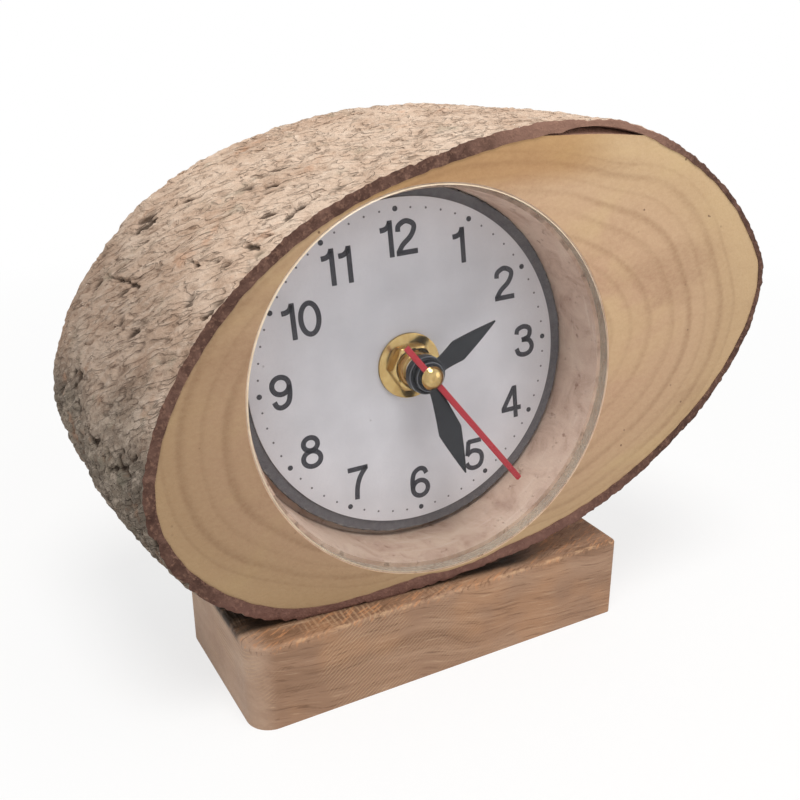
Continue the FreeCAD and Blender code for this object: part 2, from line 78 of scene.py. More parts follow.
def rgb(r, g, b):
    """A colour as a picture program names it, turned into linear light."""
    def linear(c):
        c = c / 255
        return c / 12.92 if c <= 0.04045 else ((c + 0.055) / 1.055) ** 2.4
    return (linear(r), linear(g), linear(b), 1.0)


def grey(value):
    return (value, value, value, 1.0)


class Nodes:
    """A node tree. Most calls add a node and hand back the socket to go on with."""

    def __init__(self, tree):
        self.tree = tree
        tree.nodes.clear()

    def link(self, source, target):
        self.tree.links.new(source, target)

    def feed(self, value, target):
        if isinstance(value, bpy.types.NodeSocket):
            self.link(value, target)
        else:
            target.default_value = value

    def add(self, kind, *inputs, **settings):
        """A node with its settings by name, and its first inputs fed in their order."""
        node = self.tree.nodes.new(kind)
        for name, value in settings.items():
            setattr(node, name, value)
        for value, target in zip(inputs, node.inputs):
            self.feed(value, target)
        return node

    def put(self, node, **inputs):
        """Feeds inputs of a node by name, with _ for a space."""
        for name, value in inputs.items():
            self.feed(value, node.inputs[name.replace("_", " ")])
        return node

    def math(self, kind, *values, clamp=False):
        return self.add("ShaderNodeMath", *values, operation=kind, use_clamp=clamp).outputs[0]

    def times(self, a, b):
        return self.math("MULTIPLY", a, b)

    def linear(self, value, by, start):
        """value times by, plus start."""
        return self.math("MULTIPLY_ADD", value, by, start)

    def steps(self, value, low, high, to_low=0.0, to_high=1.0):
        """A smooth step as value goes from low to high."""
        return self.add("ShaderNodeMapRange", value, low, high, to_low, to_high,
                        interpolation_type="SMOOTHSTEP").outputs[0]

    def distance(self, vector, spot=(0, 0, 0)):
        return self.add("ShaderNodeVectorMath", vector, spot, operation="DISTANCE").outputs["Value"]

    def to_sight(self):
        """1 for rays from the camera, a mirror or glass, 0 for rays that only carry light."""
        path = self.add("ShaderNodeLightPath").outputs
        seen = self.math("MAXIMUM", path["Is Camera Ray"], path["Is Transmission Ray"])
        return self.math("MAXIMUM", seen, path["Is Glossy Ray"])

    def both(self, share, first, second, out):
        """Mixes two shaders into the tree's output."""
        mix = self.add("ShaderNodeMixShader", share, first.outputs[0], second.outputs[0])
        self.link(mix.outputs[0], out.inputs["Surface"])


class Paint(Nodes):
    """One material, with coordinates in millimetres in the world and in the dial's frame."""

    def __init__(self, name):
        self.material = bpy.data.materials.new(name)
        self.material.use_nodes = True
        super().__init__(self.material.node_tree)
        self.shader = self.add("ShaderNodeBsdfPrincipled")
        self.out = self.add("ShaderNodeOutputMaterial", self.shader.outputs[0])
        here = self.add("ShaderNodeTexCoord").outputs["Object"]
        self.world = self.mapped(here, scale=(1 / MM, 1 / MM, 1 / MM))
        self.dial = self.add("ShaderNodeMapping", here, dial_centre, DIAL.to_euler(), (MM, MM, MM),
                             vector_type="TEXTURE").outputs[0]

    def mapped(self, vector, scale=(1, 1, 1), turn=(0, 0, 0), move=(0, 0, 0)):
        turn = [math.radians(a) for a in turn]
        return self.add("ShaderNodeMapping", vector, move, turn, scale).outputs[0]

    def along(self, vector, direction, stretch):
        """The same coordinates, squeezed along a direction so that noise runs with it."""
        turn = direction.rotation_difference(Vector((1, 0, 0))).to_euler()
        turned = self.mapped(vector, turn=[math.degrees(a) for a in turn])
        return self.mapped(turned, scale=(1 / stretch, 1, 1))

    def combined(self, x, y, z):
        return self.add("ShaderNodeCombineXYZ", x, y, z).outputs[0]

    def split(self, vector):
        return self.add("ShaderNodeSeparateXYZ", vector).outputs

    def noise(self, vector, size, detail=4.0, rough=0.55, distort=0.0):
        """Cloudy noise from 0 to 1; size is that of its largest clouds, in millimetres."""
        return self.put(self.add("ShaderNodeTexNoise"), Vector=vector, Scale=1 / size, Detail=detail,
                        Roughness=rough, Distortion=distort).outputs["Fac"]

    def cells(self, vector, size):
        """Distance to the nearest of many scattered points."""
        return self.put(self.add("ShaderNodeTexVoronoi"), Vector=vector, Scale=1 / size).outputs["Distance"]

    def waves(self, vector, scale, distort, detail=2.0):
        return self.put(self.add("ShaderNodeTexWave"), Vector=vector, Scale=scale, Distortion=distort,
                        Detail=detail).outputs["Fac"]

    def attribute(self, name):
        return self.add("ShaderNodeAttribute", attribute_name=name).outputs["Fac"]

    def ramp(self, value, stops, soft=False):
        node = self.add("ShaderNodeValToRGB", value)
        if soft:
            node.color_ramp.interpolation = "EASE"
        points = node.color_ramp.elements
        while len(points) < len(stops):
            points.new(0.5)
        for point, (at, colour) in zip(points, stops):
            point.position = at
            point.color = colour
        return node.outputs[0]

    def mix(self, share, a, b, blend="MIX"):
        node = self.add("ShaderNodeMix", share, data_type="RGBA", blend_type=blend)
        self.feed(a, node.inputs[6])
        self.feed(b, node.inputs[7])
        return node.outputs[2]

    def tint(self, under, value, low, high, share, over):
        """Lays a colour over another, from none of it to a share as value goes from low to high."""
        return self.mix(self.steps(value, low, high, 0.0, share), under, over)

    def dimmed(self, share, colour, by):
        return self.mix(share, colour, (*by, 1.0), blend="MULTIPLY")

    def bump(self, height, depth):
        """Bump whose height from 0 to 1 stands for depth, in millimetres."""
        return self.put(self.add("ShaderNodeBump"), Distance=depth * MM, Height=height).outputs[0]

    def finish(self, colour, roughness, normal, **constants):
        self.put(self.shader, Base_Color=colour, Roughness=roughness, Normal=normal, **constants)
        return self.material

    def see_through(self, share, colour):
        """Lets light pass, apart from a share of gloss that rays which only carry light don't see."""
        path = self.add("ShaderNodeLightPath").outputs
        light = self.math("MAXIMUM", path["Is Shadow Ray"], path["Is Diffuse Ray"])
        seen = self.times(share, self.math("SUBTRACT", 1.0, light))
        self.both(seen, self.add("ShaderNodeBsdfTransparent", colour), self.shader, self.out)
        return self.material


# The way that the bark's fibres run, in the dial's frame
BARK_GRAIN = Vector((-0.55, 0.68, -0.35)).normalized()


# Wood of the log

# The oval that the growth rings follow: middle, half sizes, and tilt in degrees
FACE_CENTRE = (9.4, 1.7)
FACE_HALF = (77.0, 46.0)
FACE_TILT = 10.0
BORE_CENTRE = (-0.6, -0.5)
# Between the sawn faces, wood within this radius of the bore's axis is painted as the bore's wall
BORE_WALL_RADIUS = 43.4
# Where the bark stands loose and its sawn edge is pale
LOOSE_PLACE = (40.0, -18.0, 50.0)
# Where the painted light on the wood's face is brightest; the face gets painted shade further from it
BRIGHTEST_LIT_PLACE = (40.0, -18.0, 40.0)
# Growth rings on the face: share of the way from the heart to the bark, half width as a share, and strength
GROWTH_RINGS = ((0.30, 0.024, 0.4), (0.38, 0.020, 0.35), (0.455, 0.024, 0.5), (0.53, 0.020, 0.5),
                (0.605, 0.026, 0.7), (0.70, 0.028, 0.55), (0.775, 0.028, 0.9), (0.84, 0.016, 0.4),
                (0.90, 0.026, 0.8), (0.947, 0.012, 0.5))


def log_wood_paint():
    p = Paint("log_wood_sanded")
    x, y, z = p.split(p.dial)
    front, rear = depth_range("log_wood")
    turned = p.mapped(p.dial, turn=(0, FACE_TILT, 0))
    tx, _, tz = p.split(turned)
    a = math.radians(FACE_TILT)
    centre = (FACE_CENTRE[0] * math.cos(a) + FACE_CENTRE[1] * math.sin(a),
              -FACE_CENTRE[0] * math.sin(a) + FACE_CENTRE[1] * math.cos(a))
    bent = p.linear(p.noise(p.dial, 52.0, 3.0, 0.30), 14.0, -7.0)
    u, v = (p.math("DIVIDE", p.math("ADD", p.math("SUBTRACT", t, c), bent), half)
            for t, c, half in zip((tx, tz), centre, FACE_HALF))
    share = p.distance(p.combined(u, 0.0, v))
    stops = [(0.0, grey(0.0))]
    for at, half, strength in GROWTH_RINGS:
        stops += [(at - half, grey(0.0)), (at, grey(strength)), (at + half * 0.6, grey(0.0))]
    uneven = p.noise(p.dial, 26.0, 2.0)
    ring = p.times(p.ramp(share, stops, soft=True), p.steps(uneven, 0.30, 0.62, 0.35, 1.0))
    colour = p.ramp(share, [(0.0, rgb(188, 150, 122)), (0.55, rgb(194, 156, 126)), (0.80, rgb(199, 164, 131)),
                            (0.93, rgb(199, 166, 128)), (1.0, rgb(207, 175, 134))])
    heart = p.noise(p.mapped(turned, scale=(0.35, 0.2, 1.0)), 15.0, 4.0, 0.6, 0.5)
    colour = p.tint(colour, heart, 0.48, 0.74, 0.50, rgb(164, 126, 98))
    pale = p.noise(p.mapped(turned, scale=(0.5, 0.2, 1.0), move=(40, 0, 9)), 18.0, 3.0, 0.5, 0.4)
    colour = p.tint(colour, pale, 0.50, 0.72, 0.45, rgb(212, 184, 136))
    colour = p.mix(p.times(ring, 0.50), colour, rgb(150, 113, 82))
    grain = p.noise(p.mapped(turned, scale=(0.6, 0.15, 1.0)), 0.9, 4.0, 0.7)
    colour = p.tint(colour, grain, 0.30, 0.70, 0.22, rgb(226, 198, 160))
    crowd = p.noise(p.mapped(p.dial, move=(0, 0, 31)), 19.0, 2.0)
    specks = p.times(p.steps(p.cells(p.mapped(p.dial, scale=(1.0, 0.3, 1.0)), 3.4), 0.10, 0.06),
                     p.steps(crowd, 0.50, 0.60))
    colour = p.mix(p.times(specks, 0.7), colour, rgb(84, 56, 40))
    # Painted shade: the wood is darkened further from its brightest lit place
    away = p.steps(p.distance(p.dial, BRIGHTEST_LIT_PLACE), 5.0, 130.0)
    colour = p.dimmed(away, colour, (0.58, 0.55, 0.53))
    # The strip over the bore is warmer
    strip = p.times(p.steps(z, 37.0, 43.0), p.steps(x, 50.0, 32.0))
    colour = p.dimmed(strip, colour, (0.82, 0.71, 0.58))
    radius = p.distance(p.combined(x, 0.0, z), (BORE_CENTRE[0], 0.0, BORE_CENTRE[1]))
    between = p.times(p.math("GREATER_THAN", y, front + 0.1), p.math("LESS_THAN", y, rear - 0.1))
    inside = p.times(p.math("LESS_THAN", radius, BORE_WALL_RADIUS), between)
    blots = p.noise(p.mapped(p.dial, scale=(1.0, 0.8, 1.0)), 7.0, 5.0, 0.66, 0.6)
    wall = p.ramp(blots, [(0.25, rgb(182, 149, 129)), (0.48, rgb(214, 187, 167)), (0.75, rgb(230, 208, 187))])
    pits = p.noise(p.mapped(p.dial, scale=(0.8, 0.5, 0.8)), 1.7, 4.0, 0.7)
    wall = p.tint(wall, pits, 0.60, 0.70, 0.60, rgb(128, 88, 68))
    scratch = p.noise(p.mapped(p.dial, scale=(0.25, 2.4, 0.25), turn=(6, 0, 9)), 3.4, 3.0, 0.6, 0.3)
    wall = p.tint(wall, scratch, 0.58, 0.72, 0.40, rgb(232, 214, 198))
    bottom = p.times(p.steps(z, -22.0, -38.0), p.steps(x, 22.0, 4.0))
    wall = p.dimmed(bottom, wall, (0.80, 0.79, 0.77))
    colour = p.mix(inside, colour, wall)
    fine = p.noise(p.mapped(p.dial, scale=(1.0, 0.3, 1.0)), 0.7, 3.0, 0.6)
    height = p.linear(ring, -0.3, fine)
    rough = p.linear(grain, 0.14, 0.54)
    return p.finish(colour, rough, p.bump(height, 0.10), Specular_IOR_Level=0.25)


# Bark

def bark_paint():
    p = Paint("bark_rough")
    relief = p.attribute("relief")
    lower = p.attribute("weathered")
    strokes = p.along(p.dial, BARK_GRAIN, 2.8)
    patches = p.noise(p.dial, 15.0, 3.0, 0.55, 0.4)
    tan = p.ramp(patches, [(0.28, rgb(202, 170, 146)), (0.5, rgb(224, 196, 173)), (0.72, rgb(240, 216, 195))])
    ash = p.ramp(patches, [(0.28, rgb(128, 116, 103)), (0.5, rgb(152, 139, 124)), (0.72, rgb(178, 163, 145))])
    colour = p.mix(lower, tan, ash)
    fibre = p.noise(strokes, 1.7, 5.0, 0.70, 0.25)
    # Painted highlight on the fibres' crests and painted shade in their hollows, following the bump
    colour = p.tint(colour, fibre, 0.46, 0.74, 0.60, rgb(250, 230, 210))
    colour = p.tint(colour, fibre, 0.46, 0.27, 0.75, rgb(138, 108, 88))
    # Painted shade: thin dark lines in the bark's cracks, which the bump also presses in
    line = p.noise(p.along(p.dial, BARK_GRAIN, 4.5), 2.2, 1.5, 0.5)
    crack_and_shade = p.steps(p.math("ABSOLUTE", p.math("SUBTRACT", line, 0.5)), 0.040, 0.008)
    broken = p.steps(p.noise(p.dial, 3.1, 3.0, 0.6), 0.48, 0.60)
    colour = p.mix(p.times(p.times(crack_and_shade, broken), 0.42), colour, rgb(84, 62, 50))
    grains = p.noise(p.dial, 1.0, 4.0, 0.7)
    dots = p.steps(grains, 0.46, 0.32)
    colour = p.mix(p.times(dots, p.linear(lower, 0.50, 0.16)), colour, rgb(64, 50, 42))
    lichen = p.noise(p.mapped(p.dial, move=(0, 17, 4)), 8.0, 4.0, 0.6)
    colour = p.tint(colour, lichen, 0.57, 0.72, 0.45, rgb(166, 160, 140))
    rust = p.noise(p.mapped(p.dial, move=(23, 0, 50)), 9.0, 4.0, 0.6)
    colour = p.tint(colour, rust, 0.60, 0.74, 0.40, rgb(214, 156, 118))
    # Painted shade in the bark's hollows and painted highlight on its ridges, from the relief
    colour = p.tint(colour, relief, 0.36, 0.02, 0.85, rgb(66, 49, 38))
    colour = p.tint(colour, relief, 0.62, 0.95, 0.30, rgb(244, 222, 200))
    # Painted shade: the left side is darkened, as it turns away from the light
    left = p.steps(p.split(p.dial)[0], -34.0, -66.0)
    colour = p.dimmed(left, colour, (0.66, 0.66, 0.67))
    height = p.math("ADD", p.linear(grains, 0.45, fibre), p.times(crack_and_shade, -0.4))
    return p.finish(colour, 0.92, p.bump(height, 1.0), Specular_IOR_Level=0.12)


def bark_cut_paint():
    p = Paint("bark_cut_edge")
    cork = p.noise(p.dial, 3.2, 5.0, 0.65, 0.4)
    colour = p.ramp(cork, [(0.25, rgb(62, 42, 36)), (0.5, rgb(92, 67, 58)), (0.75, rgb(124, 94, 82))])
    layers = p.noise(p.mapped(p.dial, scale=(1.0, 0.2, 1.0)), 0.8, 3.0, 0.6)
    colour = p.tint(colour, layers, 0.5, 0.7, 0.35, rgb(166, 128, 108))
    from_loose = p.distance(p.dial, LOOSE_PLACE)
    colour = p.tint(colour, from_loose, 34.0, 10.0, 0.55, rgb(176, 136, 118))
    low_rim = p.steps(p.split(p.dial)[2], -30.0, -44.0, 0.0, 0.45)
    colour = p.mix(low_rim, colour, rgb(136, 98, 88))
    return p.finish(colour, 0.88, p.bump(layers, 0.35), Specular_IOR_Level=0.15)


# Block

def block_paint():
    p = Paint("block_oiled")
    x, y, z = p.split(p.world)
    low, high = (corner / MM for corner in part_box("base_block"))
    bend = p.linear(p.noise(p.mapped(p.world, scale=(0.6, 1.0, 1.0)), 30.0, 2.0), 16.0, -8.0)
    level = p.linear(x, 0.10, p.math("ADD", z, bend))
    grain_at = p.combined(p.times(x, 0.07), y, level)
    broad = p.noise(grain_at, 7.0, 4.0, 0.55, 0.3)
    colour = p.ramp(broad, [(0.25, rgb(112, 82, 61)), (0.42, rgb(139, 106, 82)),
                            (0.58, rgb(157, 123, 98)), (0.78, rgb(180, 147, 121))])
    warm = p.noise(p.world, 19.0, 2.0)
    colour = p.tint(colour, warm, 0.50, 0.68, 0.42, rgb(182, 136, 98))
    lines = p.noise(grain_at, 0.75, 4.0, 0.7, 0.15)
    colour = p.tint(colour, lines, 0.52, 0.68, 0.62, rgb(104, 73, 52))
    colour = p.tint(colour, lines, 0.45, 0.28, 0.50, rgb(202, 170, 140))
    end = p.steps(x, low.x + 6.0, low.x + 1.0)
    smooth = p.noise(p.mapped(p.world, scale=(1.0, 0.25, 1.0)), 5.0, 4.0, 0.6)
    left = p.ramp(smooth, [(0.3, rgb(172, 141, 119)), (0.7, rgb(198, 169, 146))])
    colour = p.mix(p.times(end, 0.75), colour, left)
    saw = p.waves(p.mapped(p.world, turn=(0, -52, 0)), 0.40, 2.2, 3.0)
    where = p.times(p.steps(p.noise(p.mapped(p.world, move=(0, 0, 12)), 14.0, 3.0), 0.42, 0.60),
                    p.steps(x, high.x - 20.0, low.x + 20.0))
    hatch = p.times(p.steps(saw, 0.45, 0.95), where)
    colour = p.mix(p.times(hatch, 0.40), colour, rgb(208, 172, 136))
    on_top = p.steps(z, high.z - 2.2, high.z - 0.3)
    dashes = p.noise(p.mapped(p.mapped(p.world, turn=(0, 0, -28)), scale=(0.22, 1.5, 0.5)), 0.9, 3.0, 0.6)
    colour = p.mix(p.times(on_top, p.steps(dashes, 0.54, 0.66, 0.0, 0.70)), colour, rgb(196, 140, 98))
    colour = p.mix(p.times(on_top, p.steps(dashes, 0.44, 0.34, 0.0, 0.60)), colour, rgb(104, 72, 50))
    edge = p.times(p.steps(z, high.z - 0.9, high.z - 0.2), p.steps(y, low.y + 1.0, low.y + 0.3))
    chips = p.noise(p.mapped(p.world, scale=(0.5, 1.0, 1.0)), 1.6, 4.0, 0.7)
    colour = p.mix(p.times(edge, p.steps(chips, 0.46, 0.62, 0.0, 0.7)), colour, rgb(200, 162, 126))
    # A dark stain on the block's top under the log, with painted shadow from the log over it
    under = p.times(p.steps(p.linear(x, 0.08, y), low.y + 2.6, low.y + 5.4),
                    p.steps(x, high.x - 14.0, high.x - 30.0))
    stain_and_shadow = p.steps(p.noise(p.mapped(p.world, scale=(0.3, 1.0, 1.0)), 2.4, 4.0, 0.6), 0.25, 0.55, 0.55, 0.95)
    colour = p.mix(p.times(p.times(on_top, under), stain_and_shadow), colour, rgb(44, 33, 25))
    height = p.math("ADD", lines, p.times(hatch, 0.5))
    return p.finish(colour, p.linear(lines, 0.15, 0.50), p.bump(height, 0.20),
                    Specular_IOR_Level=0.3)


# Dial, lens and metal

def paper_paint():
    p = Paint("dial_paper_print")
    mottle = p.noise(p.dial, 13.0, 3.0, 0.5)
    colour = p.ramp(mottle, [(0.3, rgb(212, 212, 215)), (0.7, rgb(228, 228, 231))])
    specks = p.cells(p.dial, 7.0)
    colour = p.mix(p.times(p.steps(specks, 0.05, 0.03), 0.35), colour, rgb(120, 116, 118))
    fibres = p.noise(p.dial, 0.6, 3.0, 0.6)
    colour = p.tint(colour, fibres, 0.4, 0.7, 0.10, rgb(184, 184, 192))
    return p.finish(colour, 0.62, p.bump(fibres, 0.02), Specular_IOR_Level=0.35)


def print_paint(name, dark, light):
    p = Paint(name)
    wear = p.noise(p.dial, 1.1, 4.0, 0.65)
    colour = p.mix(p.steps(wear, 0.60, 0.78), dark, light)
    return p.finish(colour, p.linear(wear, 0.1, 0.5), p.bump(wear, 0.01), Specular_IOR_Level=0.3)


def board_paint():
    p = Paint("board_grey_edge")
    grains = p.noise(p.dial, 1.3, 4.0, 0.65)
    colour = p.ramp(grains, [(0.3, rgb(98, 97, 100)), (0.7, rgb(116, 115, 117))])
    edge = p.steps(p.distance(p.mapped(p.dial, scale=(1.0, 0.0, 1.0))), 40.5, 41.0)
    torn = p.noise(p.dial, 1.0, 4.0, 0.75)
    colour = p.mix(p.times(edge, p.steps(torn, 0.52, 0.60)), colour, rgb(150, 146, 141))
    colour = p.mix(p.times(edge, p.steps(torn, 0.44, 0.38)), colour, rgb(52, 50, 50))
    return p.finish(colour, 0.6, p.bump(grains, 0.06), Specular_IOR_Level=0.3)


def brass_paint(name, roughness):
    p = Paint(name)
    smear = p.noise(p.mapped(p.dial, scale=(1.0, 3.0, 1.0)), 2.6, 4.0, 0.6)
    colour = p.ramp(smear, [(0.3, rgb(186, 152, 94)), (0.7, rgb(222, 194, 132))])
    # Painted reflection: the brass is darkened where its surface turns away from view, for dark reflections
    # round its rims
    facing = p.add("ShaderNodeLayerWeight", 0.45).outputs["Facing"]
    colour = p.tint(colour, facing, 0.25, 0.85, 0.75, rgb(104, 78, 34))
    rough = p.linear(smear, 0.16, roughness)
    fine = p.noise(p.mapped(p.dial, scale=(1.0, 6.0, 1.0)), 0.5, 2.0, 0.5)
    return p.finish(colour, rough, p.bump(fine, 0.008), Metallic=1.0)


def steel_paint(name, dark, light, roughness):
    p = Paint(name)
    brush = p.noise(p.mapped(p.dial, scale=(0.1, 1.0, 2.0)), 0.9, 4.0, 0.6)
    colour = p.ramp(brush, [(0.3, dark), (0.7, light)])
    rough = p.linear(brush, 0.2, roughness)
    return p.finish(colour, rough, p.bump(brush, 0.01), Metallic=1.0)


def paint_coat(name, dark, light, roughness):
    """Hard paint on a thin metal hand: faint orange peel and worn places."""
    p = Paint(name)
    peel = p.noise(p.dial, 0.8, 3.0, 0.5)
    rub = p.noise(p.dial, 3.0, 4.0, 0.65)
    colour = p.mix(p.steps(rub, 0.55, 0.8, 0.0, 0.7), dark, light)
    rough = p.linear(rub, 0.2, roughness)
    return p.finish(colour, rough, p.bump(peel, 0.012), Specular_IOR_Level=0.5)


def plastic_paint(name, dark, light, roughness, grain=0.03):
    """Moulded plastic with a fine spark-eroded grain and faint flow marks."""
    p = Paint(name)
    flow = p.noise(p.mapped(p.dial, scale=(0.5, 1.0, 1.0)), 11.0, 3.0, 0.5, 0.6)
    colour = p.mix(p.steps(flow, 0.3, 0.75), dark, light)
    dots = p.noise(p.dial, 0.45, 2.0, 0.5)
    rough = p.linear(flow, 0.12, roughness)
    return p.finish(colour, rough, p.bump(dots, grain), Specular_IOR_Level=0.45)


def rubber_paint():
    p = Paint("rubber_black")
    dust = p.noise(p.dial, 1.4, 4.0, 0.7)
    colour = p.mix(p.steps(dust, 0.45, 0.8), rgb(30, 30, 31), rgb(66, 64, 62))
    return p.finish(colour, 0.8, p.bump(dust, 0.05), Specular_IOR_Level=0.25)


def copper_paint():
    p = Paint("copper_turns")
    turns = p.waves(p.dial, 1.6, 0.4)
    colour = p.ramp(turns, [(0.1, rgb(110, 52, 28)), (0.7, rgb(206, 122, 72))])
    return p.finish(colour, p.linear(turns, 0.15, 0.28), p.bump(turns, 0.08), Metallic=0.8)


def circuit_paint():
    p = Paint("circuit_bare")
    weave = p.noise(p.mapped(p.dial, scale=(2.0, 1.0, 2.0)), 0.7, 3.0, 0.6)
    colour = p.ramp(weave, [(0.3, rgb(120, 84, 44)), (0.7, rgb(160, 120, 70))])
    return p.finish(colour, 0.55, p.bump(weave, 0.03), Specular_IOR_Level=0.4)


def cell_paint():
    p = Paint("cell_sleeve_bands")
    x = p.split(p.dial)[0]
    half = max(v.x for v in dial_points("cell"))
    warm_end = p.steps(x, half - 15.2, half - 14.8)
    scuff = p.noise(p.mapped(p.dial, scale=(0.3, 1.0, 1.0)), 3.0, 4.0, 0.65)
    dark = p.mix(p.steps(scuff, 0.55, 0.8, 0.0, 0.3), rgb(44, 48, 56), rgb(96, 100, 108))
    warm = p.mix(p.steps(scuff, 0.4, 0.8, 0.0, 0.4), rgb(184, 116, 66), rgb(214, 156, 104))
    colour = p.mix(warm_end, dark, warm)
    bare = p.math("MAXIMUM", p.math("GREATER_THAN", x, half - 1.6), p.math("LESS_THAN", x, 0.6 - half))
    colour = p.mix(bare, colour, rgb(196, 196, 194))
    rough = p.linear(scuff, 0.15, 0.22)
    return p.finish(colour, rough, p.bump(scuff, 0.01), Metallic=0.6)


ACRYLIC_IOR = 1.49


def lens_clear_paint():
    """Clear acrylic: mostly see-through, with a faint haze and a gloss that grows to the side."""
    p = Paint("lens_faces")
    wipes = p.noise(p.mapped(p.dial, scale=(0.5, 1.0, 1.4), turn=(0, 35, 0)), 14.0, 4.0, 0.6, 0.5)
    p.finish(rgb(222, 224, 228), p.linear(wipes, 0.10, 0.03), p.bump(wipes, 0.004), IOR=ACRYLIC_IOR)
    fresnel = p.add("ShaderNodeFresnel", ACRYLIC_IOR).outputs[0]
    haze = p.steps(wipes, 0.40, 0.80, 0.0, 0.012)
    share = p.math("MULTIPLY_ADD", fresnel, 0.16, haze, clamp=True)
    return p.see_through(share, rgb(252, 252, 253))


def lens_edge_paint():
    """The sawn side of the lens, half frosted."""
    p = Paint("lens_side")
    marks = p.noise(p.mapped(p.dial, scale=(1.0, 5.0, 1.0)), 1.6, 4.0, 0.65)
    colour = p.ramp(marks, [(0.3, rgb(150, 144, 134)), (0.7, rgb(188, 182, 170))])
    p.finish(colour, 0.45, p.bump(marks, 0.04), IOR=ACRYLIC_IOR)
    return p.see_through(p.steps(marks, 0.3, 0.7, 0.36, 0.60), rgb(238, 238, 234))


def lens_chamfer_paint():
    # Painted highlight: the clear bevel gets an opaque pale colour for the bright line along the lens's rim
    p = Paint("lens_bevel_highlight")
    marks = p.noise(p.dial, 2.0, 3.0, 0.6)
    colour = p.ramp(marks, [(0.3, rgb(226, 206, 178)), (0.7, rgb(246, 232, 210))])
    return p.finish(colour, 0.25, p.bump(marks, 0.01), IOR=ACRYLIC_IOR)


# Mesh helpers

# Edges that turn more than this stay sharp
SHARP_FROM_DEG = 34


def add_piece(name, mesh, materials, body, slot, *replaced):
    """Links a mesh as a piece that rides on a body, in place of the CAD nodes named last. The slot argument
    is not used.
    """
    piece = bpy.data.objects.new(name, mesh)
    bpy.context.scene.collection.objects.link(piece)
    for material in materials:
        mesh.materials.append(material)
    for polygon in mesh.polygons:
        polygon.use_smooth = True
    mesh.set_sharp_from_angle(angle=math.radians(SHARP_FROM_DEG))
    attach(piece, body)
    if replaced:
        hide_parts(*replaced)


def edit(mesh, change=None):
    """Makes a change to a mesh, if any, and turns its faces outwards."""
    builder = bmesh.new()
    builder.from_mesh(mesh)
    if change:
        change(builder)
    bmesh.ops.recalc_face_normals(builder, faces=builder.faces)
    builder.to_mesh(mesh)
    builder.free()
    return mesh


def mesh_from(name, points, faces, kinds=None):
    """A mesh from points in the dial's frame, in millimetres; kinds names the material of each face."""
    mesh = bpy.data.meshes.new(name)
    mesh.from_pydata([place(*p) for p in points], [], faces)
    if kinds is not None:
        mesh.polygons.foreach_set("material_index", kinds)
    return edit(mesh)


def in_dial(vertex):
    return (TO_DIAL @ vertex.co) / MM


def band(a, b, count):
    """The faces between two closed rows of points, each row given by the number of its first point."""
    return [(a + u, b + u, b + (u + 1) % count, a + (u + 1) % count) for u in range(count)]


def revolve(name, profile, segments=96, shape=None, kinds=None):
    """Turns a closed outline of (radius, depth) points about the dial's axis.
    shape(radius, depth, angle) may bend the radius; kinds names the material of each side of the outline."""
    count = len(profile)
    points = []
    faces = []
    for s in range(segments):
        a = 2 * math.pi * s / segments
        for r, y in profile:
            radius = shape(r, y, a) if shape else r
            points.append((radius * math.cos(a), y, radius * math.sin(a)))
        faces += band(s * count, (s + 1) % segments * count, count)
    return mesh_from(name, points, faces, (kinds or [0] * count) * segments)


# Log: bark with real relief around the CAD solid

BARK_AROUND = 900
BARK_ALONG = 120
INNER_ROWS = 14
# The bark's outer skin: how high its relief may stand, and how thin it may get over the wood
RELIEF_MOST = 1.4
BARK_LEAST = 1.2
OVER_WOOD = 0.25
# Relief is stored as a share for the paint, which turns it into painted shade in the hollows and painted
# highlight on the ridges: this much for flat bark, and this much more for each millimetre
RELIEF_MIDDLE, RELIEF_SHARE = 0.55, 0.5
# The sawn edge of the bark: steps across it, how far it laps over the wood, how proud it stands,
# how far back it tucks under, and how deep the bark's inside lies in the wood
RIM_STEPS = 5
RIM_OVER_WOOD = 1.15
RIM_PROUD = 0.22
RIM_TUCK = 2.4
IN_WOOD = 0.3
# Where the rim laps over furthest, and where it does again, in degrees round the face
RIM_WIDEST_DEG = 170.0
RIM_TOP_DEG = 75.0
# Shares of the lap: everywhere, more towards its widest place, and more at the top; then its unevenness
LAP_LEAST, LAP_MORE, LAP_TOP, LAP_UNEVEN = 0.12, 0.88, 0.7, 0.26
# Roughness of the sawn edge, and how far it stands off the wood where the bark is loose
RIM_ROUGH, RIM_OFF = 0.12, 0.1
# Relief near the sawn faces, as a share, and over how many rows it grows to its full height
EDGE_RELIEF, EDGE_ROWS = 0.55, 3
# The bark stays this far off the block that the log stands on
BLOCK_MARGIN, BLOCK_CLEAR = 0.6, 0.02
# Where the bark has come away from the wood at the top right: angles in degrees, the gap's width and depth
LOOSE_FROM, LOOSE_TO, LOOSE_GAP, LOOSE_DEPTH = 41.0, 65.0, 2.1, 3.5
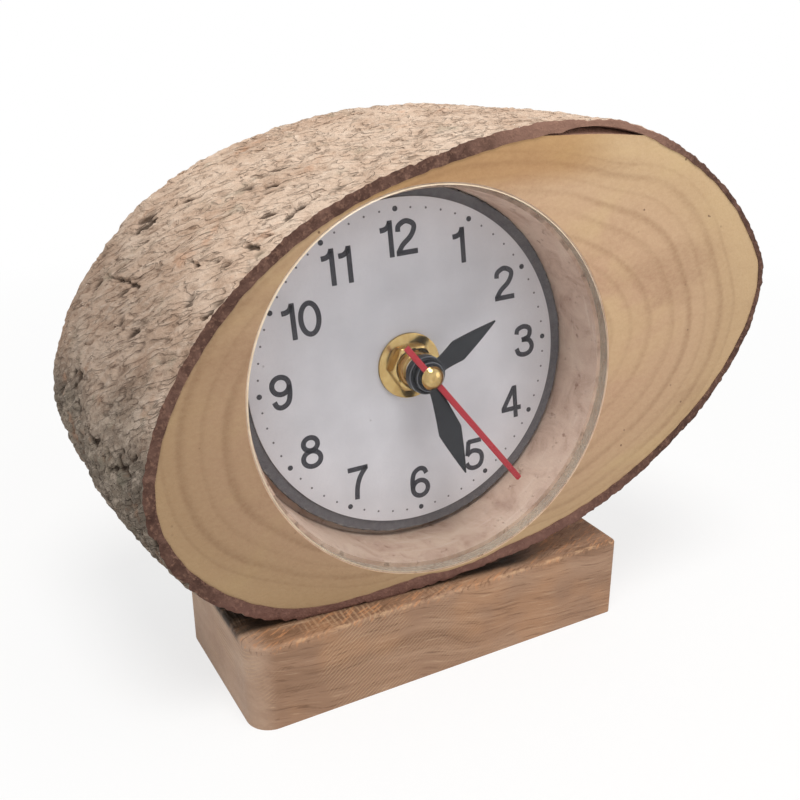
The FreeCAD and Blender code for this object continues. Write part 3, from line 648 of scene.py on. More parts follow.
# Cracks and torn pits seen in the photograph: both ends in the dial's frame, half width, and depth
BARK_SCARS = (((-28.6, -11.6, 39.5), (-22.2, -11.6, 42.3), 1.1, 1.9),
              ((-51.1, 30.9, 35.2), (-48.0, 28.7, 37.1), 1.3, 1.8),
              ((-44.9, 17.4, 36.7), (-42.3, 16.0, 38.1), 0.8, 1.2),
              ((-71.8, 11.5, -1.6), (-71.3, 6.0, -4.4), 1.0, 2.0),
              ((-65.3, -18.2, -19.7), (-63.0, -15.0, -24.0), 1.3, 2.4),
              ((-37.1, -10.0, 34.9), (-35.8, -13.3, 34.9), 0.9, 1.2),
              ((-46.1, 2.4, 31.7), (-45.4, -2.4, 30.9), 0.7, 1.1),
              ((-59.7, 28.7, 26.4), (-55.7, 12.4, 25.8), 0.6, 1.0),
              ((-49.4, -15.5, 22.9), (-47.8, -16.6, 24.1), 1.0, 1.3),
              ((8.6, 31.9, 55.5), (15.9, 26.6, 55.5), 0.8, 1.4),
              ((-60.7, -18.2, -29.5), (-60.0, -16.0, -30.5), 0.9, 1.4),
              ((-68.2, -8.9, -5.9), (-70.3, -1.2, -7.9), 0.7, 1.2))
# The log's own openings, from the nodes that sit in them
LOG_DEPTHS = depth_range("log_wood")
LENS_BACK = depth_range("lens")[1]
BORE_FLOOR = depth_range("dial_board")[1]
BORE_RADIUS, SEAT_RADIUS, THIN_WALL = 42.0, 43.2, 1.3
POCKET_GAP, POCKET_CORNER = 2.0, 6.0
SOFT_EDGE = 0.2
# How far behind the seat the wall round it has eased into the wall round the bore, and how fast that
# wall may thin out behind the bore's floor
WALL_EASE, WALL_FADE = 4.0, 0.3
WOOD_AROUND = 480
WOOD_ALONG = 30
FACE_ROWS, BORE_ROWS, POCKET_ROWS = 8, 12, 5
# How much further the right tip of the log reaches than the CAD
TIP_REACH = 1.1
# The CAD is measured at least this far inside its ends
SKIN = 0.05


def dial_tree(node):
    mesh = frame["nodes"][node].data
    return BVHTree.FromPolygons(dial_points(node), [tuple(p.vertices) for p in mesh.polygons])


def ring_centre(points, depth):
    near = [p for p in points if abs(p.y - depth) < SKIN]
    xs = [p.x for p in near]
    zs = [p.z for p in near]
    return (min(xs) + max(xs)) / 2, (min(zs) + max(zs)) / 2


def outline_at(tree, centre, direction, depth, reach=200.0):
    """How far out the first surface lies, looking in along direction from outside, or None."""
    front, rear = LOG_DEPTHS
    depth = min(max(depth, front + SKIN), rear - SKIN)
    start = spot(centre, direction, reach, depth)
    hit = tree.ray_cast(start, Vector((-direction[0], 0.0, -direction[1])))[0]
    if hit is None:
        return None
    out = (hit.x - centre[0]) * direction[0] + (hit.z - centre[1]) * direction[1]
    return out if out > 0 else None


def spot(centre, direction, out, depth):
    return Vector((centre[0] + direction[0] * out, depth, centre[1] + direction[1] * out))


def unit(angle):
    return math.cos(angle), math.sin(angle)


def limited(value, low=0.0, high=1.0):
    return max(low, min(high, value))


def stretched(point, stretch):
    """A point squeezed along the bark's grain, so that noise there runs with the grain."""
    return point - BARK_GRAIN * point.dot(BARK_GRAIN) * (1 - 1 / stretch)


def noise_at(point, size, shift=(0.0, 0.0, 0.0)):
    """Smooth noise from about -1 to 1, its clouds of a size in millimetres."""
    return noise.noise(point / size + Vector(shift))


def weathering(point):
    """1 on the grey granular bark of the lower left side, 0 on the tan ridged bark above."""
    side = -0.75 * point.x - 0.9 * point.z
    return limited((side - 35.0 + 14.0 * noise_at(point, 16.0)) / 22.0)


def bark_relief(point):
    """Height of the bark above its mean surface in millimetres, and how weathered it is."""
    worn = weathering(point)
    lumps = noise_at(point, 12.0)
    knobs = noise_at(point, 5.0, (17.0, 2.0, 60.0))
    warp = Vector((noise_at(point, 4.5), 0.0, noise_at(point, 4.5, (9.0, 4.0, 2.0))))
    q = stretched(point, 2.6) + warp * 0.8
    ridge = 1 - 2.4 * abs(noise_at(q, 2.0))
    small = 1 - 2.4 * abs(noise_at(q, 1.3, (31.0, 7.0, 5.0)))
    flakes = noise.cell(q / 2.3)
    grain = noise_at(point, 1.5, (3.0, 50.0, 8.0))
    pits = max(0.0, noise_at(point, 2.1, (70.0, 3.0, 1.0)) - 0.12)
    ridged = 0.40 * ridge + 0.20 * small + 0.26 * (flakes - 0.5) - 0.22
    granular = 0.60 * grain - 2.0 * pits
    slit = max(0.0, noise_at(stretched(point, 2.4), 3.6, (5.0, 90.0, 40.0)) - 0.42)
    height = 0.50 * lumps + 0.45 * knobs + (1 - worn) * ridged + worn * granular - 2.6 * slit
    for start, end, half_width, deep in BARK_SCARS:
        a, b = Vector(start), Vector(end)
        along = limited((point - a).dot(b - a) / (b - a).length_squared)
        across = (point - a.lerp(b, along)).length + 0.6 * noise_at(point, 1.3)
        if across < half_width:
            height -= deep * (1 - max(0.0, across) / half_width) ** 0.6
    return height, worn


def degrees_round(direction):
    return math.degrees(math.atan2(direction[1], direction[0])) % 360


def loose_share(direction):
    """1 in the middle of the place where the bark has come away, 0 at its ends."""
    angle = degrees_round(direction)
    if not LOOSE_FROM < angle < LOOSE_TO:
        return 0.0
    return math.sin(math.pi * (angle - LOOSE_FROM) / (LOOSE_TO - LOOSE_FROM)) ** 0.6


def tip_reach(direction, depth):
    front, rear = LOG_DEPTHS
    return TIP_REACH * max(0.0, direction[0]) ** 8 * (1 - (depth - front) / (rear - front))


def wood_edge(tree, centre, direction, depth):
    """How far the wood reaches from a centre at a depth: as the CAD has it, a little further at the
    right tip, and far enough that the bore and the seat of the lens stay closed below."""
    out = (outline_at(tree, centre, direction, depth) or FACE_HALF[1]) + tip_reach(direction, depth)
    into = limited((depth - LENS_BACK) / WALL_EASE)
    least = SEAT_RADIUS + (BORE_RADIUS - SEAT_RADIUS) * into + THIN_WALL
    least -= WALL_FADE * max(0.0, depth - BORE_FLOOR)
    off_x, off_z = centre[0] - BORE_CENTRE[0], centre[1] - BORE_CENTRE[1]
    lean = off_x * direction[0] + off_z * direction[1]
    inside = lean * lean - off_x * off_x - off_z * off_z + least * least
    return max(out, math.sqrt(inside) - lean) if inside > 0 else out


def pocket_reach(direction, half):
    """From the bore's axis to the side of a square pocket of this half size, its corners rounded."""
    near, far = 0.0, 2 * half
    while far - near > 1e-6:
        middle = (near + far) / 2
        x, _, z = (abs(v) for v in spot(BORE_CENTRE, direction, middle, 0.0))
        if math.hypot(max(0.0, x - half + POCKET_CORNER), max(0.0, z - half + POCKET_CORNER)) < POCKET_CORNER:
            near = middle
        else:
            far = middle
    return near


def log_wood_mesh():
    """The log's wood as one closed skin: outside, sawn faces, seat of the lens, bore, and pocket."""
    tree = dial_tree("log_wood")
    front, rear = LOG_DEPTHS
    half = max(p.x for p in dial_points("front_case")) + POCKET_GAP
    around = [unit(2 * math.pi * u / WOOD_AROUND) for u in range(WOOD_AROUND)]
    rows = []

    def outer_row(depth):
        gap = LOOSE_GAP * max(0.0, 1 - (depth - front) / LOOSE_DEPTH)
        return [wood_edge(tree, BORE_CENTRE, d, depth) - gap * loose_share(d) for d in around]

    def add_row(radii, depth, kind=0):
        """A row of points round the bore's axis; kind is the material of the faces that follow it."""
        rows.append((radii, depth, kind))

    def add_rows(start, end, front, back, count, last=None):
        """Rows in equal steps after a first one, up to the last that is asked for."""
        for k in range(1, (last or count) + 1):
            share = k / count
            add_row([a + (b - a) * share for a, b in zip(start, end)], front + (back - front) * share)

    seat, bore = [SEAT_RADIUS] * WOOD_AROUND, [BORE_RADIUS] * WOOD_AROUND
    pocket = [pocket_reach(d, half) for d in around]
    for k in range(WOOD_ALONG):
        depth = front + (rear - front) * (1 - (k / WOOD_ALONG) ** 0.8)
        add_row(outer_row(depth), depth, 1)
    rim = outer_row(front)
    add_row(rim, front)
    add_rows(rim, [r + SOFT_EDGE for r in seat], front, front, FACE_ROWS)
    add_row(seat, front + SOFT_EDGE)
    add_row(seat, LENS_BACK)
    add_row(bore, LENS_BACK)
    add_rows(bore, bore, LENS_BACK, BORE_FLOOR, BORE_ROWS)
    add_row(pocket, BORE_FLOOR)
    add_rows(pocket, pocket, BORE_FLOOR, rear, POCKET_ROWS)
    add_rows(pocket, outer_row(rear), rear, rear, FACE_ROWS, FACE_ROWS - 1)
    points = [spot(BORE_CENTRE, d, r, depth) for radii, depth, _ in rows for d, r in zip(around, radii)]
    faces = []
    for v in range(len(rows)):
        faces += band(v * WOOD_AROUND, (v + 1) % len(rows) * WOOD_AROUND, WOOD_AROUND)
    return mesh_from("log_wood_skin", points, faces, [kind for _, _, kind in rows for _ in around])


def bark_mesh():
    """The bark as one closed skin: rough outside, sawn edges lapping over the wood, inside in the wood."""
    bark_tree = dial_tree("log_bark")
    wood_tree = dial_tree("log_wood")
    corners = dial_points("log_bark")
    front, rear = depth_range("log_bark")
    end_centres = ring_centre(corners, front), ring_centre(corners, rear)
    low, high = (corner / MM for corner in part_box("base_block"))
    points, relief, weathered, faces, kinds = [], [], [], [], []

    def direction(u):
        x, z = unit(2 * math.pi * u / BARK_AROUND)
        return Vector((FACE_HALF[0] * x, FACE_HALF[1] * z)).normalized()

    around = [direction(u) for u in range(BARK_AROUND)]

    def centre_at(depth):
        share = (depth - front) / (rear - front)
        return tuple(a + (b - a) * share for a, b in zip(*end_centres))

    def add_point(point, height=0.5, worn=0.0, may_touch=False):
        """Adds a point to the skin, kept out of the block that the log stands on unless it may touch it."""
        seen = DIAL @ (point * MM) / MM
        over = all(a - BLOCK_MARGIN < v < b + BLOCK_MARGIN for a, v, b in zip(low.xy, seen.xy, high.xy))
        if over and seen.z < high.z + BLOCK_CLEAR and not may_touch:
            seen.z = high.z + BLOCK_CLEAR
            point = (TO_DIAL @ (seen * MM)) / MM
        points.append(point)
        relief.append(height)
        weathered.append(worn)

    def join(a, b, kind):
        faces.extend(band(a, b, BARK_AROUND))
        kinds.extend([kind] * BARK_AROUND)

    def add_inside(depth):
        row = len(points)
        c = centre_at(depth)
        for d in around:
            add_point(spot(c, d, wood_edge(wood_tree, c, d, depth) - IN_WOOD, depth), 0.2, may_touch=True)
        return row

    def lap(c, d, depth, sign):
        """How far the sawn edge laps over the wood; nothing where the bark has come away in front."""
        angle = degrees_round(d)
        left = 0.5 + 0.5 * math.cos(math.radians(angle - RIM_WIDEST_DEG))
        top = max(0.0, math.cos(math.radians(angle - RIM_TOP_DEG))) ** 6
        over = RIM_OVER_WOOD * (LAP_LEAST + LAP_MORE * left + LAP_TOP * top)
        over += LAP_UNEVEN * noise_at(Vector((c[0] + 60 * d.x, depth, 60 * d.y)), 3.0)
        loose = loose_share(d) if sign < 0 else 0.0
        return over * (1 - loose) - RIM_OFF * loose

    def add_rim(outer, depth, sign):
        """The sawn edge: from the outer skin in over the wood's face, then back under the skin."""
        c = centre_at(depth)
        ends = [spot(c, d, wood_edge(wood_tree, c, d, depth) - lap(c, d, depth, sign), depth) for d in around]
        last = outer
        for step in range(1, RIM_STEPS + 1):
            row = len(points)
            for u, end in enumerate(ends):
                point = points[outer + u].lerp(end, step / RIM_STEPS)
                point.y = depth + sign * (RIM_PROUD + RIM_ROUGH * noise_at(point, 1.3))
                add_point(point)
            join(last, row, 1)
            last = row
        under = add_inside(depth - sign * RIM_TUCK)
        join(last, under, 1)
        return under

    for v in range(BARK_ALONG + 1):
        depth = front + (rear - front) * v / BARK_ALONG
        c = centre_at(depth)
        for d in around:
            wood = wood_edge(wood_tree, c, d, depth)
            out = max((outline_at(bark_tree, c, d, depth) or 0.0) + tip_reach(d, depth), wood + BARK_LEAST)
            height, worn = bark_relief(spot(c, d, out, depth))
            height *= EDGE_RELIEF + (1 - EDGE_RELIEF) * min(1.0, min(v, BARK_ALONG - v) / EDGE_ROWS)
            height = limited(height, wood - out + OVER_WOOD, RELIEF_MOST)
            add_point(spot(c, d, out + height, depth), limited(RELIEF_MIDDLE + height * RELIEF_SHARE), worn)
    for v in range(BARK_ALONG):
        join(v * BARK_AROUND, (v + 1) * BARK_AROUND, 0)
    last = add_rim(0, front, -1)
    inner_rear = add_rim(BARK_ALONG * BARK_AROUND, rear, 1)
    for k in range(1, INNER_ROWS):
        row = add_inside(front + RIM_TUCK + (rear - front - 2 * RIM_TUCK) * k / INNER_ROWS)
        join(last, row, 1)
        last = row
    join(last, inner_rear, 1)
    mesh = mesh_from("bark", points, faces, kinds)
    for name, values in (("relief", relief), ("weathered", weathered)):
        mesh.attributes.new(name, "FLOAT", "POINT").data.foreach_set("value", values)
    return mesh


# Lens, dial and the parts on its axis

LENS_BEVEL = 0.35
LENS_BACK_BEVEL = 0.1
LENS_MIDDLE = 2.0


def lens_mesh():
    """The lens as a turned ring, its middle closed by one face in front and one behind."""
    points = dial_points("lens")
    front, back = depth_range("lens")
    left, right = min(p.x for p in points), max(p.x for p in points)
    middle_z = (min(p.z for p in points) + max(p.z for p in points)) / 2
    radius = (right - left) / 2
    profile = [(LENS_MIDDLE, front), (radius * 0.5, front), (radius - LENS_BEVEL, front),
               (radius, front + LENS_BEVEL), (radius, back - LENS_BACK_BEVEL),
               (radius - LENS_BACK_BEVEL, back), (radius * 0.5, back), (LENS_MIDDLE, back)]

    def close_middle(builder):
        hole = [f for f in builder.faces if all(in_dial(v).xz.length < LENS_MIDDLE + 0.01 for v in f.verts)]
        bmesh.ops.delete(builder, geom=hole, context="FACES")
        bmesh.ops.holes_fill(builder, edges=[e for e in builder.edges if e.is_boundary], sides=0)
        shift = DIAL.to_3x3() @ (Vector(((left + right) / 2, 0, middle_z)) * MM)
        bmesh.ops.translate(builder, verts=builder.verts, vec=shift)

    kinds = [0, 0, 2, 1, 1, 0, 0, 0]
    return edit(revolve("lens_disc", profile, segments=160, kinds=kinds), close_middle)


# The hole through the board and the washer, and the nut's own
AXIS_HOLE, NUT_HOLE = 4.1, 4.0
BOARD_RADIUS = 41.15
# How far the hand-cut edge wanders, and how many times round it does so
BOARD_CUTS = ((0.24, 7.0), (0.18, 31.0), (0.10, 90.0))


def board_mesh():
    front, back = depth_range("dial_board")

    def cut_by_hand(r, y, a):
        if r < 10:
            return r
        around = Vector((*unit(a), 0.0))
        return r + sum(by * noise.noise(around * often) for by, often in BOARD_CUTS)

    profile = [(AXIS_HOLE, front), (20.0, front), (39.0, front), (BOARD_RADIUS - 0.25, front),
               (BOARD_RADIUS, front + 0.3), (BOARD_RADIUS - 0.05, back), (20.0, back), (AXIS_HOLE, back)]
    return revolve("board_ring", profile, segments=480, shape=cut_by_hand)


WASHER_RADIUS = 7.7
WASHER_ROUND = 0.2


def washer_mesh():
    front, back = depth_range("brass_washer")
    soft = 0.1
    profile = [(AXIS_HOLE, front + soft), (AXIS_HOLE + soft, front), (WASHER_RADIUS - WASHER_ROUND, front),
               (WASHER_RADIUS - WASHER_ROUND * 0.3, front + WASHER_ROUND * 0.3),
               (WASHER_RADIUS, front + WASHER_ROUND), (WASHER_RADIUS, back - soft),
               (WASHER_RADIUS - soft, back), (AXIS_HOLE, back)]
    return revolve("washer_ring", profile, segments=128)


# From the nut's axis to a flat and to a corner; its corners are turned off over a chamfer
NUT_FLAT = 5.0
NUT_CORNER = NUT_FLAT / math.cos(math.pi / 6)
NUT_CHAMFER = 0.45
NUT_FACE = NUT_FLAT - 0.12


def nut_mesh():
    front, back = depth_range("hex_nut")

    def six_sided(r, y, a):
        if r <= NUT_FLAT - 0.5:
            return r
        flat = NUT_FLAT / math.cos(a % (math.pi / 3) - math.pi / 6)
        from_end = min(1.0, min(y - front, back - y) / NUT_CHAMFER)
        return min(flat, NUT_FACE + (NUT_CORNER - NUT_FACE) * from_end)

    profile = [(NUT_HOLE, front + 0.25), (NUT_HOLE + 0.25, front), (NUT_FLAT - 0.6, front)]
    profile += [(NUT_CORNER, front + NUT_CHAMFER * k / 4) for k in range(5)]
    profile += [(NUT_CORNER, back - NUT_CHAMFER * (4 - k) / 4) for k in range(5)]
    return revolve("nut_six", profile + [(NUT_HOLE, back)], segments=144, shape=six_sided)


BUSH_RADIUS, BUSH_BORE = 4.0, 3.0
THREAD_PITCH, THREAD_DEPTH, THREAD_END = 0.6, 0.22, -0.9
FLANGE_RADIUS, FLANGE_THICKNESS = 5.6, 0.7


def bush_mesh():
    """The bush with its thread as rings, from its open end to the nut."""
    front, back = depth_range("threaded_bush")
    profile = [(BUSH_BORE, front), (BUSH_RADIUS - 0.35, front), (BUSH_RADIUS - 0.05, front + 0.3)]
    y = front + 0.45
    while y + THREAD_PITCH < THREAD_END:
        profile += [(BUSH_RADIUS, y), (BUSH_RADIUS - THREAD_DEPTH, y + THREAD_PITCH * 0.5)]
        y += THREAD_PITCH
    flange = back - FLANGE_THICKNESS
    profile += [(BUSH_RADIUS, y), (BUSH_RADIUS, flange), (FLANGE_RADIUS, flange), (FLANGE_RADIUS, back),
                (BUSH_BORE, back)]
    return revolve("bush_tube", profile)


# The hands, drawn at twelve o'clock, and the hour that each points to, in degrees

HOUR = {"length": 20.1, "width": 5.4, "neck": 3.6, "widest": 0.45, "hub": 4.4, "bore": 2.97, "angle": 62.7}
MINUTE = {"length": 25.7, "width": 5.8, "neck": 2.8, "widest": 0.55, "hub": 3.4, "bore": 2.02, "angle": 164.3}
SECOND = {"length": 35.7, "tail": 9.8, "width": 1.4, "hub": 1.6, "bore": 0.52, "angle": 145.1}
HAND_THICKNESS = 0.4
# The sides of a leaf-shaped hand bow out by this much, and its tip is this wide
LEAF_BOW, LEAF_TIP = 0.12, 0.28
LEAF_STEPS = 8
HUB_EDGE, HUB_GROOVE = 0.18, 0.16
CAP_RADIUS, CAP_STEPS = 2.7, 17


def hand_mesh(name, parts, clock_deg):
    """Joins the parts of a hand and turns them to their hour, clockwise seen from the front."""
    builder = bmesh.new()
    for piece in parts:
        builder.from_mesh(piece)
        bpy.data.meshes.remove(piece)
    mesh = bpy.data.meshes.new(name)
    builder.to_mesh(mesh)
    builder.free()
    mesh.transform(DIAL @ Matrix.Rotation(math.radians(clock_deg), 4, "Y") @ TO_DIAL)
    return mesh


def plate_mesh(name, outline, front, bevel):
    """A thin plate with an outline of (x, z) points, its front edges rounded."""
    count = len(outline)
    points = [(x, y, z) for y in (front, front + HAND_THICKNESS) for x, z in outline]
    faces = [tuple(range(count)), tuple(range(2 * count - 1, count - 1, -1))] + band(0, count, count)

    def round_front(builder):
        rim = [e for e in builder.edges if all(abs(in_dial(v).y - front) < 0.01 for v in e.verts)]
        bmesh.ops.bevel(builder, geom=rim, offset=bevel * MM, segments=3, profile=0.5, affect="EDGES")

    return edit(mesh_from(name, points, faces), round_front)


def leaf_outline(length, width, neck, widest, hub):
    """A kite-shaped hand, its sides slightly bowed; widest says where, as a share of its length."""
    side = [(neck / 2, hub * 0.5), (neck / 2, hub)]
    for k in range(1, LEAF_STEPS + 1):
        t = k / LEAF_STEPS
        side.append((neck / 2 + (width - neck) / 2 * t ** 1.25, hub + (widest * length - hub) * t))
    for k in range(1, LEAF_STEPS + 2):
        t = k / (LEAF_STEPS + 1)
        x = width / 2 * (1 - t) + LEAF_BOW * math.sin(math.pi * t) + LEAF_TIP / 2 * t
        side.append((x, length * (widest + (1 - widest) * t)))
    return [(-x, z) for x, z in side] + [(x, z) for x, z in reversed(side)]


def hub_mesh(name, outer, bore, front, back):
    """A pressed hub: a flat ring with a groove, then a stepped collar, its front corner painted pale as a
    painted highlight.
    """
    edge, groove = HUB_EDGE, (outer + bore) / 2
    profile = [(bore, front + 0.05), (bore + 0.05, front), (groove - HUB_GROOVE, front),
               (groove, front + 0.12), (groove + HUB_GROOVE, front), (outer - edge, front),
               (outer - edge * 0.3, front + edge * 0.3), (outer, front + edge), (outer, back - edge),
               (outer - edge, back), (bore, back)]
    # Painted highlight: these sides of the outline, at the front corner, take the pale paint
    highlit_sides = (5, 6)
    return revolve(name, profile, segments=112, kinds=[int(side in highlit_sides) for side in range(len(profile))])


def pointed_hand_mesh(node, size):
    front, back = depth_range(node)
    outline = leaf_outline(size["length"], size["width"], size["neck"], size["widest"], size["hub"])
    blade = plate_mesh(node + "_blade", outline, front + 0.02, 0.1)
    hub = hub_mesh(node + "_hub", size["hub"], size["bore"], front, back)
    return hand_mesh(node + "_mesh", [blade, hub], size["angle"])


def second_hand_mesh():
    front, back = depth_range("second_hand")
    half, length, hub, bore = SECOND["width"] / 2, SECOND["length"], SECOND["hub"], SECOND["bore"]
    side = [(half - 0.25, length), (half, length - 0.3), (half, 0.0), (half, -SECOND["tail"])]
    strip = plate_mesh("second_strip", [(-x, z) for x, z in reversed(side)] + side, front, 0.08)
    lip, edge = front + 0.05, 0.08
    profile = [(bore, lip), (hub, lip), (hub, back - edge), (hub - edge, back), (bore, back)]
    collar = revolve("second_hub", profile, segments=64, kinds=[1] * len(profile))
    return hand_mesh("second_hand_mesh", [strip, collar], SECOND["angle"])


def cap_mesh():
    """A low dome: the part of a ball that stands between the cap's front and back."""
    front, back = depth_range("second_cap")
    height = back - front
    ball = (CAP_RADIUS ** 2 + height ** 2) / (2 * height)
    profile = [(0.03, back), (0.03, front)]
    for k in range(1, CAP_STEPS):
        y, r = unit(math.asin(CAP_RADIUS / ball) * k / CAP_STEPS)
        profile.append((ball * r, front + ball * (1 - y)))
    profile += [(CAP_RADIUS - 0.04, back - 0.1), (CAP_RADIUS, back - 0.05), (CAP_RADIUS - 0.05, back)]
    return revolve("cap_dome", profile)


# Numerals and dots

# Where each numeral's middle lies, right of and above the dial's centre
NUMERAL_CENTRES = {1: (14.9, 25.5), 2: (26.3, 14.9), 3: (30.9, -0.1), 4: (26.3, -15.0), 5: (15.3, -26.1),
                   6: (0.2, -29.6), 7: (-15.2, -25.7), 8: (-25.8, -15.4), 9: (-30.9, 0.0), 10: (-24.4, 15.2),
                   11: (-15.0, 25.5), 12: (0.2, 29.5)}
NUMERAL_HEIGHT = 8.2
# The rest of a numeral is in shares of its height
NUMERAL_STROKE = 0.145
DIGIT_STRETCH = 1.18
DIGIT_WIDTH, ONE_WIDTH, DIGIT_GAP = 0.66, 0.43, 0.06
DOT_RADIUS = 36.0
HOUR_DOT, MINUTE_DOT = 0.62, 0.25
DOT_SIDES = 20
# How far the ink stands above the paper, and how far its back lies in it
INK_FRONT, INK_BACK = -0.03, 0.02


def oval_stroke(cx, cy, rx, ry, start=0.0, end=360.0, count=40):
    angles = [math.radians(start + (end - start) * k / count) for k in range(count + 1)]
    return [(cx + rx * math.cos(a), cy + ry * math.sin(a)) for a in angles]


def smooth_stroke(points, per=9):
    """A soft line through a few points."""
    ends = [points[0]] + list(points) + [points[-1]]
    line = []
    for i in range(1, len(ends) - 2):
        p0, p1, p2, p3 = (Vector(ends[i + k]) for k in (-1, 0, 1, 2))
        for k in range(per):
            t = k / per
            line.append(0.5 * (2 * p1 + (p2 - p0) * t + (2 * p0 - 5 * p1 + 4 * p2 - p3) * t * t
                               + (3 * p1 - p0 - 3 * p2 + p3) * t ** 3))
    line.append(Vector(points[-1]))
    return [tuple(p) for p in line]


def digit_strokes(digit):
    """Centre lines of a plain upright numeral, in a box one unit high."""
    shapes = {
        "0": [oval_stroke(0.28, 0.5, 0.215, 0.425)],
        "1": [[(0.30, 0.0), (0.30, 1.0)],
              smooth_stroke([(0.30, 0.96), (0.25, 0.84), (0.16, 0.775), (0.045, 0.76)])],
        "2": [smooth_stroke([(0.075, 0.66), (0.10, 0.82), (0.28, 0.925), (0.46, 0.83), (0.475, 0.68),
                             (0.37, 0.48), (0.18, 0.30), (0.075, 0.13), (0.06, 0.075)]),
              [(0.0, 0.075), (0.54, 0.075)]],
        "3": [smooth_stroke([(0.07, 0.72), (0.11, 0.86), (0.27, 0.925), (0.42, 0.86), (0.45, 0.73),
                             (0.39, 0.58), (0.21, 0.53)]),
              smooth_stroke([(0.21, 0.53), (0.41, 0.49), (0.49, 0.30), (0.42, 0.13), (0.26, 0.075),
                             (0.11, 0.13), (0.05, 0.29)])],
        "4": [[(0.40, 0.0), (0.40, 1.0)], [(0.385, 0.95), (0.05, 0.31)], [(0.0, 0.29), (0.56, 0.29)]],
        "5": [[(0.12, 0.925), (0.50, 0.925)], [(0.145, 0.95), (0.085, 0.50)],
              smooth_stroke([(0.075, 0.50), (0.16, 0.59), (0.29, 0.62), (0.45, 0.53), (0.49, 0.34),
                             (0.42, 0.14), (0.26, 0.075), (0.11, 0.13), (0.05, 0.27)])],
        "6": [oval_stroke(0.285, 0.315, 0.205, 0.24),
              smooth_stroke([(0.08, 0.33), (0.085, 0.58), (0.15, 0.82), (0.30, 0.925), (0.42, 0.88),
                             (0.475, 0.74)])],
        "7": [[(0.02, 0.925), (0.54, 0.925)],
              smooth_stroke([(0.50, 0.93), (0.33, 0.68), (0.23, 0.38), (0.19, 0.0)])],
        "8": [oval_stroke(0.28, 0.735, 0.175, 0.19), oval_stroke(0.28, 0.30, 0.215, 0.225)],
        "9": [oval_stroke(0.275, 0.685, 0.205, 0.24),
              smooth_stroke([(0.48, 0.67), (0.475, 0.42), (0.41, 0.18), (0.26, 0.075), (0.14, 0.12),
                             (0.085, 0.26)])],
    }
    return [[(x * DIGIT_STRETCH, y) for x, y in line] for line in shapes[digit]]


def add_stroke(points, faces, line, at_x, at_z):
    """A flat ribbon along a line, standing a hair above the paper."""
    half = NUMERAL_STROKE / 2
    start = len(points)
    line = [Vector(p) for p in line]
    closed = (line[0] - line[-1]).length < 1e-6
    for i, p in enumerate(line):
        before = line[i - 1] if i > 0 else (line[-2] if closed else p)
        after = line[i + 1] if i < len(line) - 1 else (line[1] if closed else p)
        along = (after - before).normalized()
        across = Vector((-along.y, along.x)) * half
        for side in (p + across, p - across):
            x, z = at_x + side.x * NUMERAL_HEIGHT, at_z + side.y * NUMERAL_HEIGHT
            points += [(x, INK_FRONT, z), (x, INK_BACK, z)]
    last = start + 4 * (len(line) - 1)
    for a in range(start, last, 4):
        b = a + 4
        faces += [(a, a + 2, b + 2, b), (a + 1, b + 1, b + 3, a + 3), (a, b, b + 1, a + 1),
                  (a + 2, a + 3, b + 3, b + 2)]
    if not closed:
        faces += [(start, start + 1, start + 3, start + 2), (last, last + 2, last + 3, last + 1)]


def numerals_mesh():
    points = []
    faces = []
    for hour, (centre_x, centre_z) in NUMERAL_CENTRES.items():
        widths = [ONE_WIDTH if digit == "1" else DIGIT_WIDTH for digit in str(hour)]
        at_x = centre_x - (sum(widths) + DIGIT_GAP * (len(widths) - 1)) * NUMERAL_HEIGHT / 2
        for digit, width in zip(str(hour), widths):
            for line in digit_strokes(digit):
                add_stroke(points, faces, line, at_x, centre_z - NUMERAL_HEIGHT / 2)
            at_x += (width + DIGIT_GAP) * NUMERAL_HEIGHT
    return mesh_from("numerals", points, faces)


def dots_mesh(name, radius, minutes):
    points = []
    faces = []
    rim = [unit(2 * math.pi * k / DOT_SIDES) for k in range(DOT_SIDES)]
    for minute in minutes:
        up, right = unit(math.radians(6 * minute))
        start = len(points)
        points += [(DOT_RADIUS * right + radius * a, y, DOT_RADIUS * up + radius * b)
                   for y in (INK_FRONT, INK_BACK) for a, b in rim]
        ring = range(start, start + DOT_SIDES)
        faces += [tuple(ring), tuple(i + DOT_SIDES for i in reversed(ring))]
        faces += band(start, start + DOT_SIDES, DOT_SIDES)
    return mesh_from(name, points, faces)


# Everything put on the frame

def dress_nodes(material, *names):
    for name in names:
        for slot in frame["nodes"][name].material_slots:
            slot.material = material


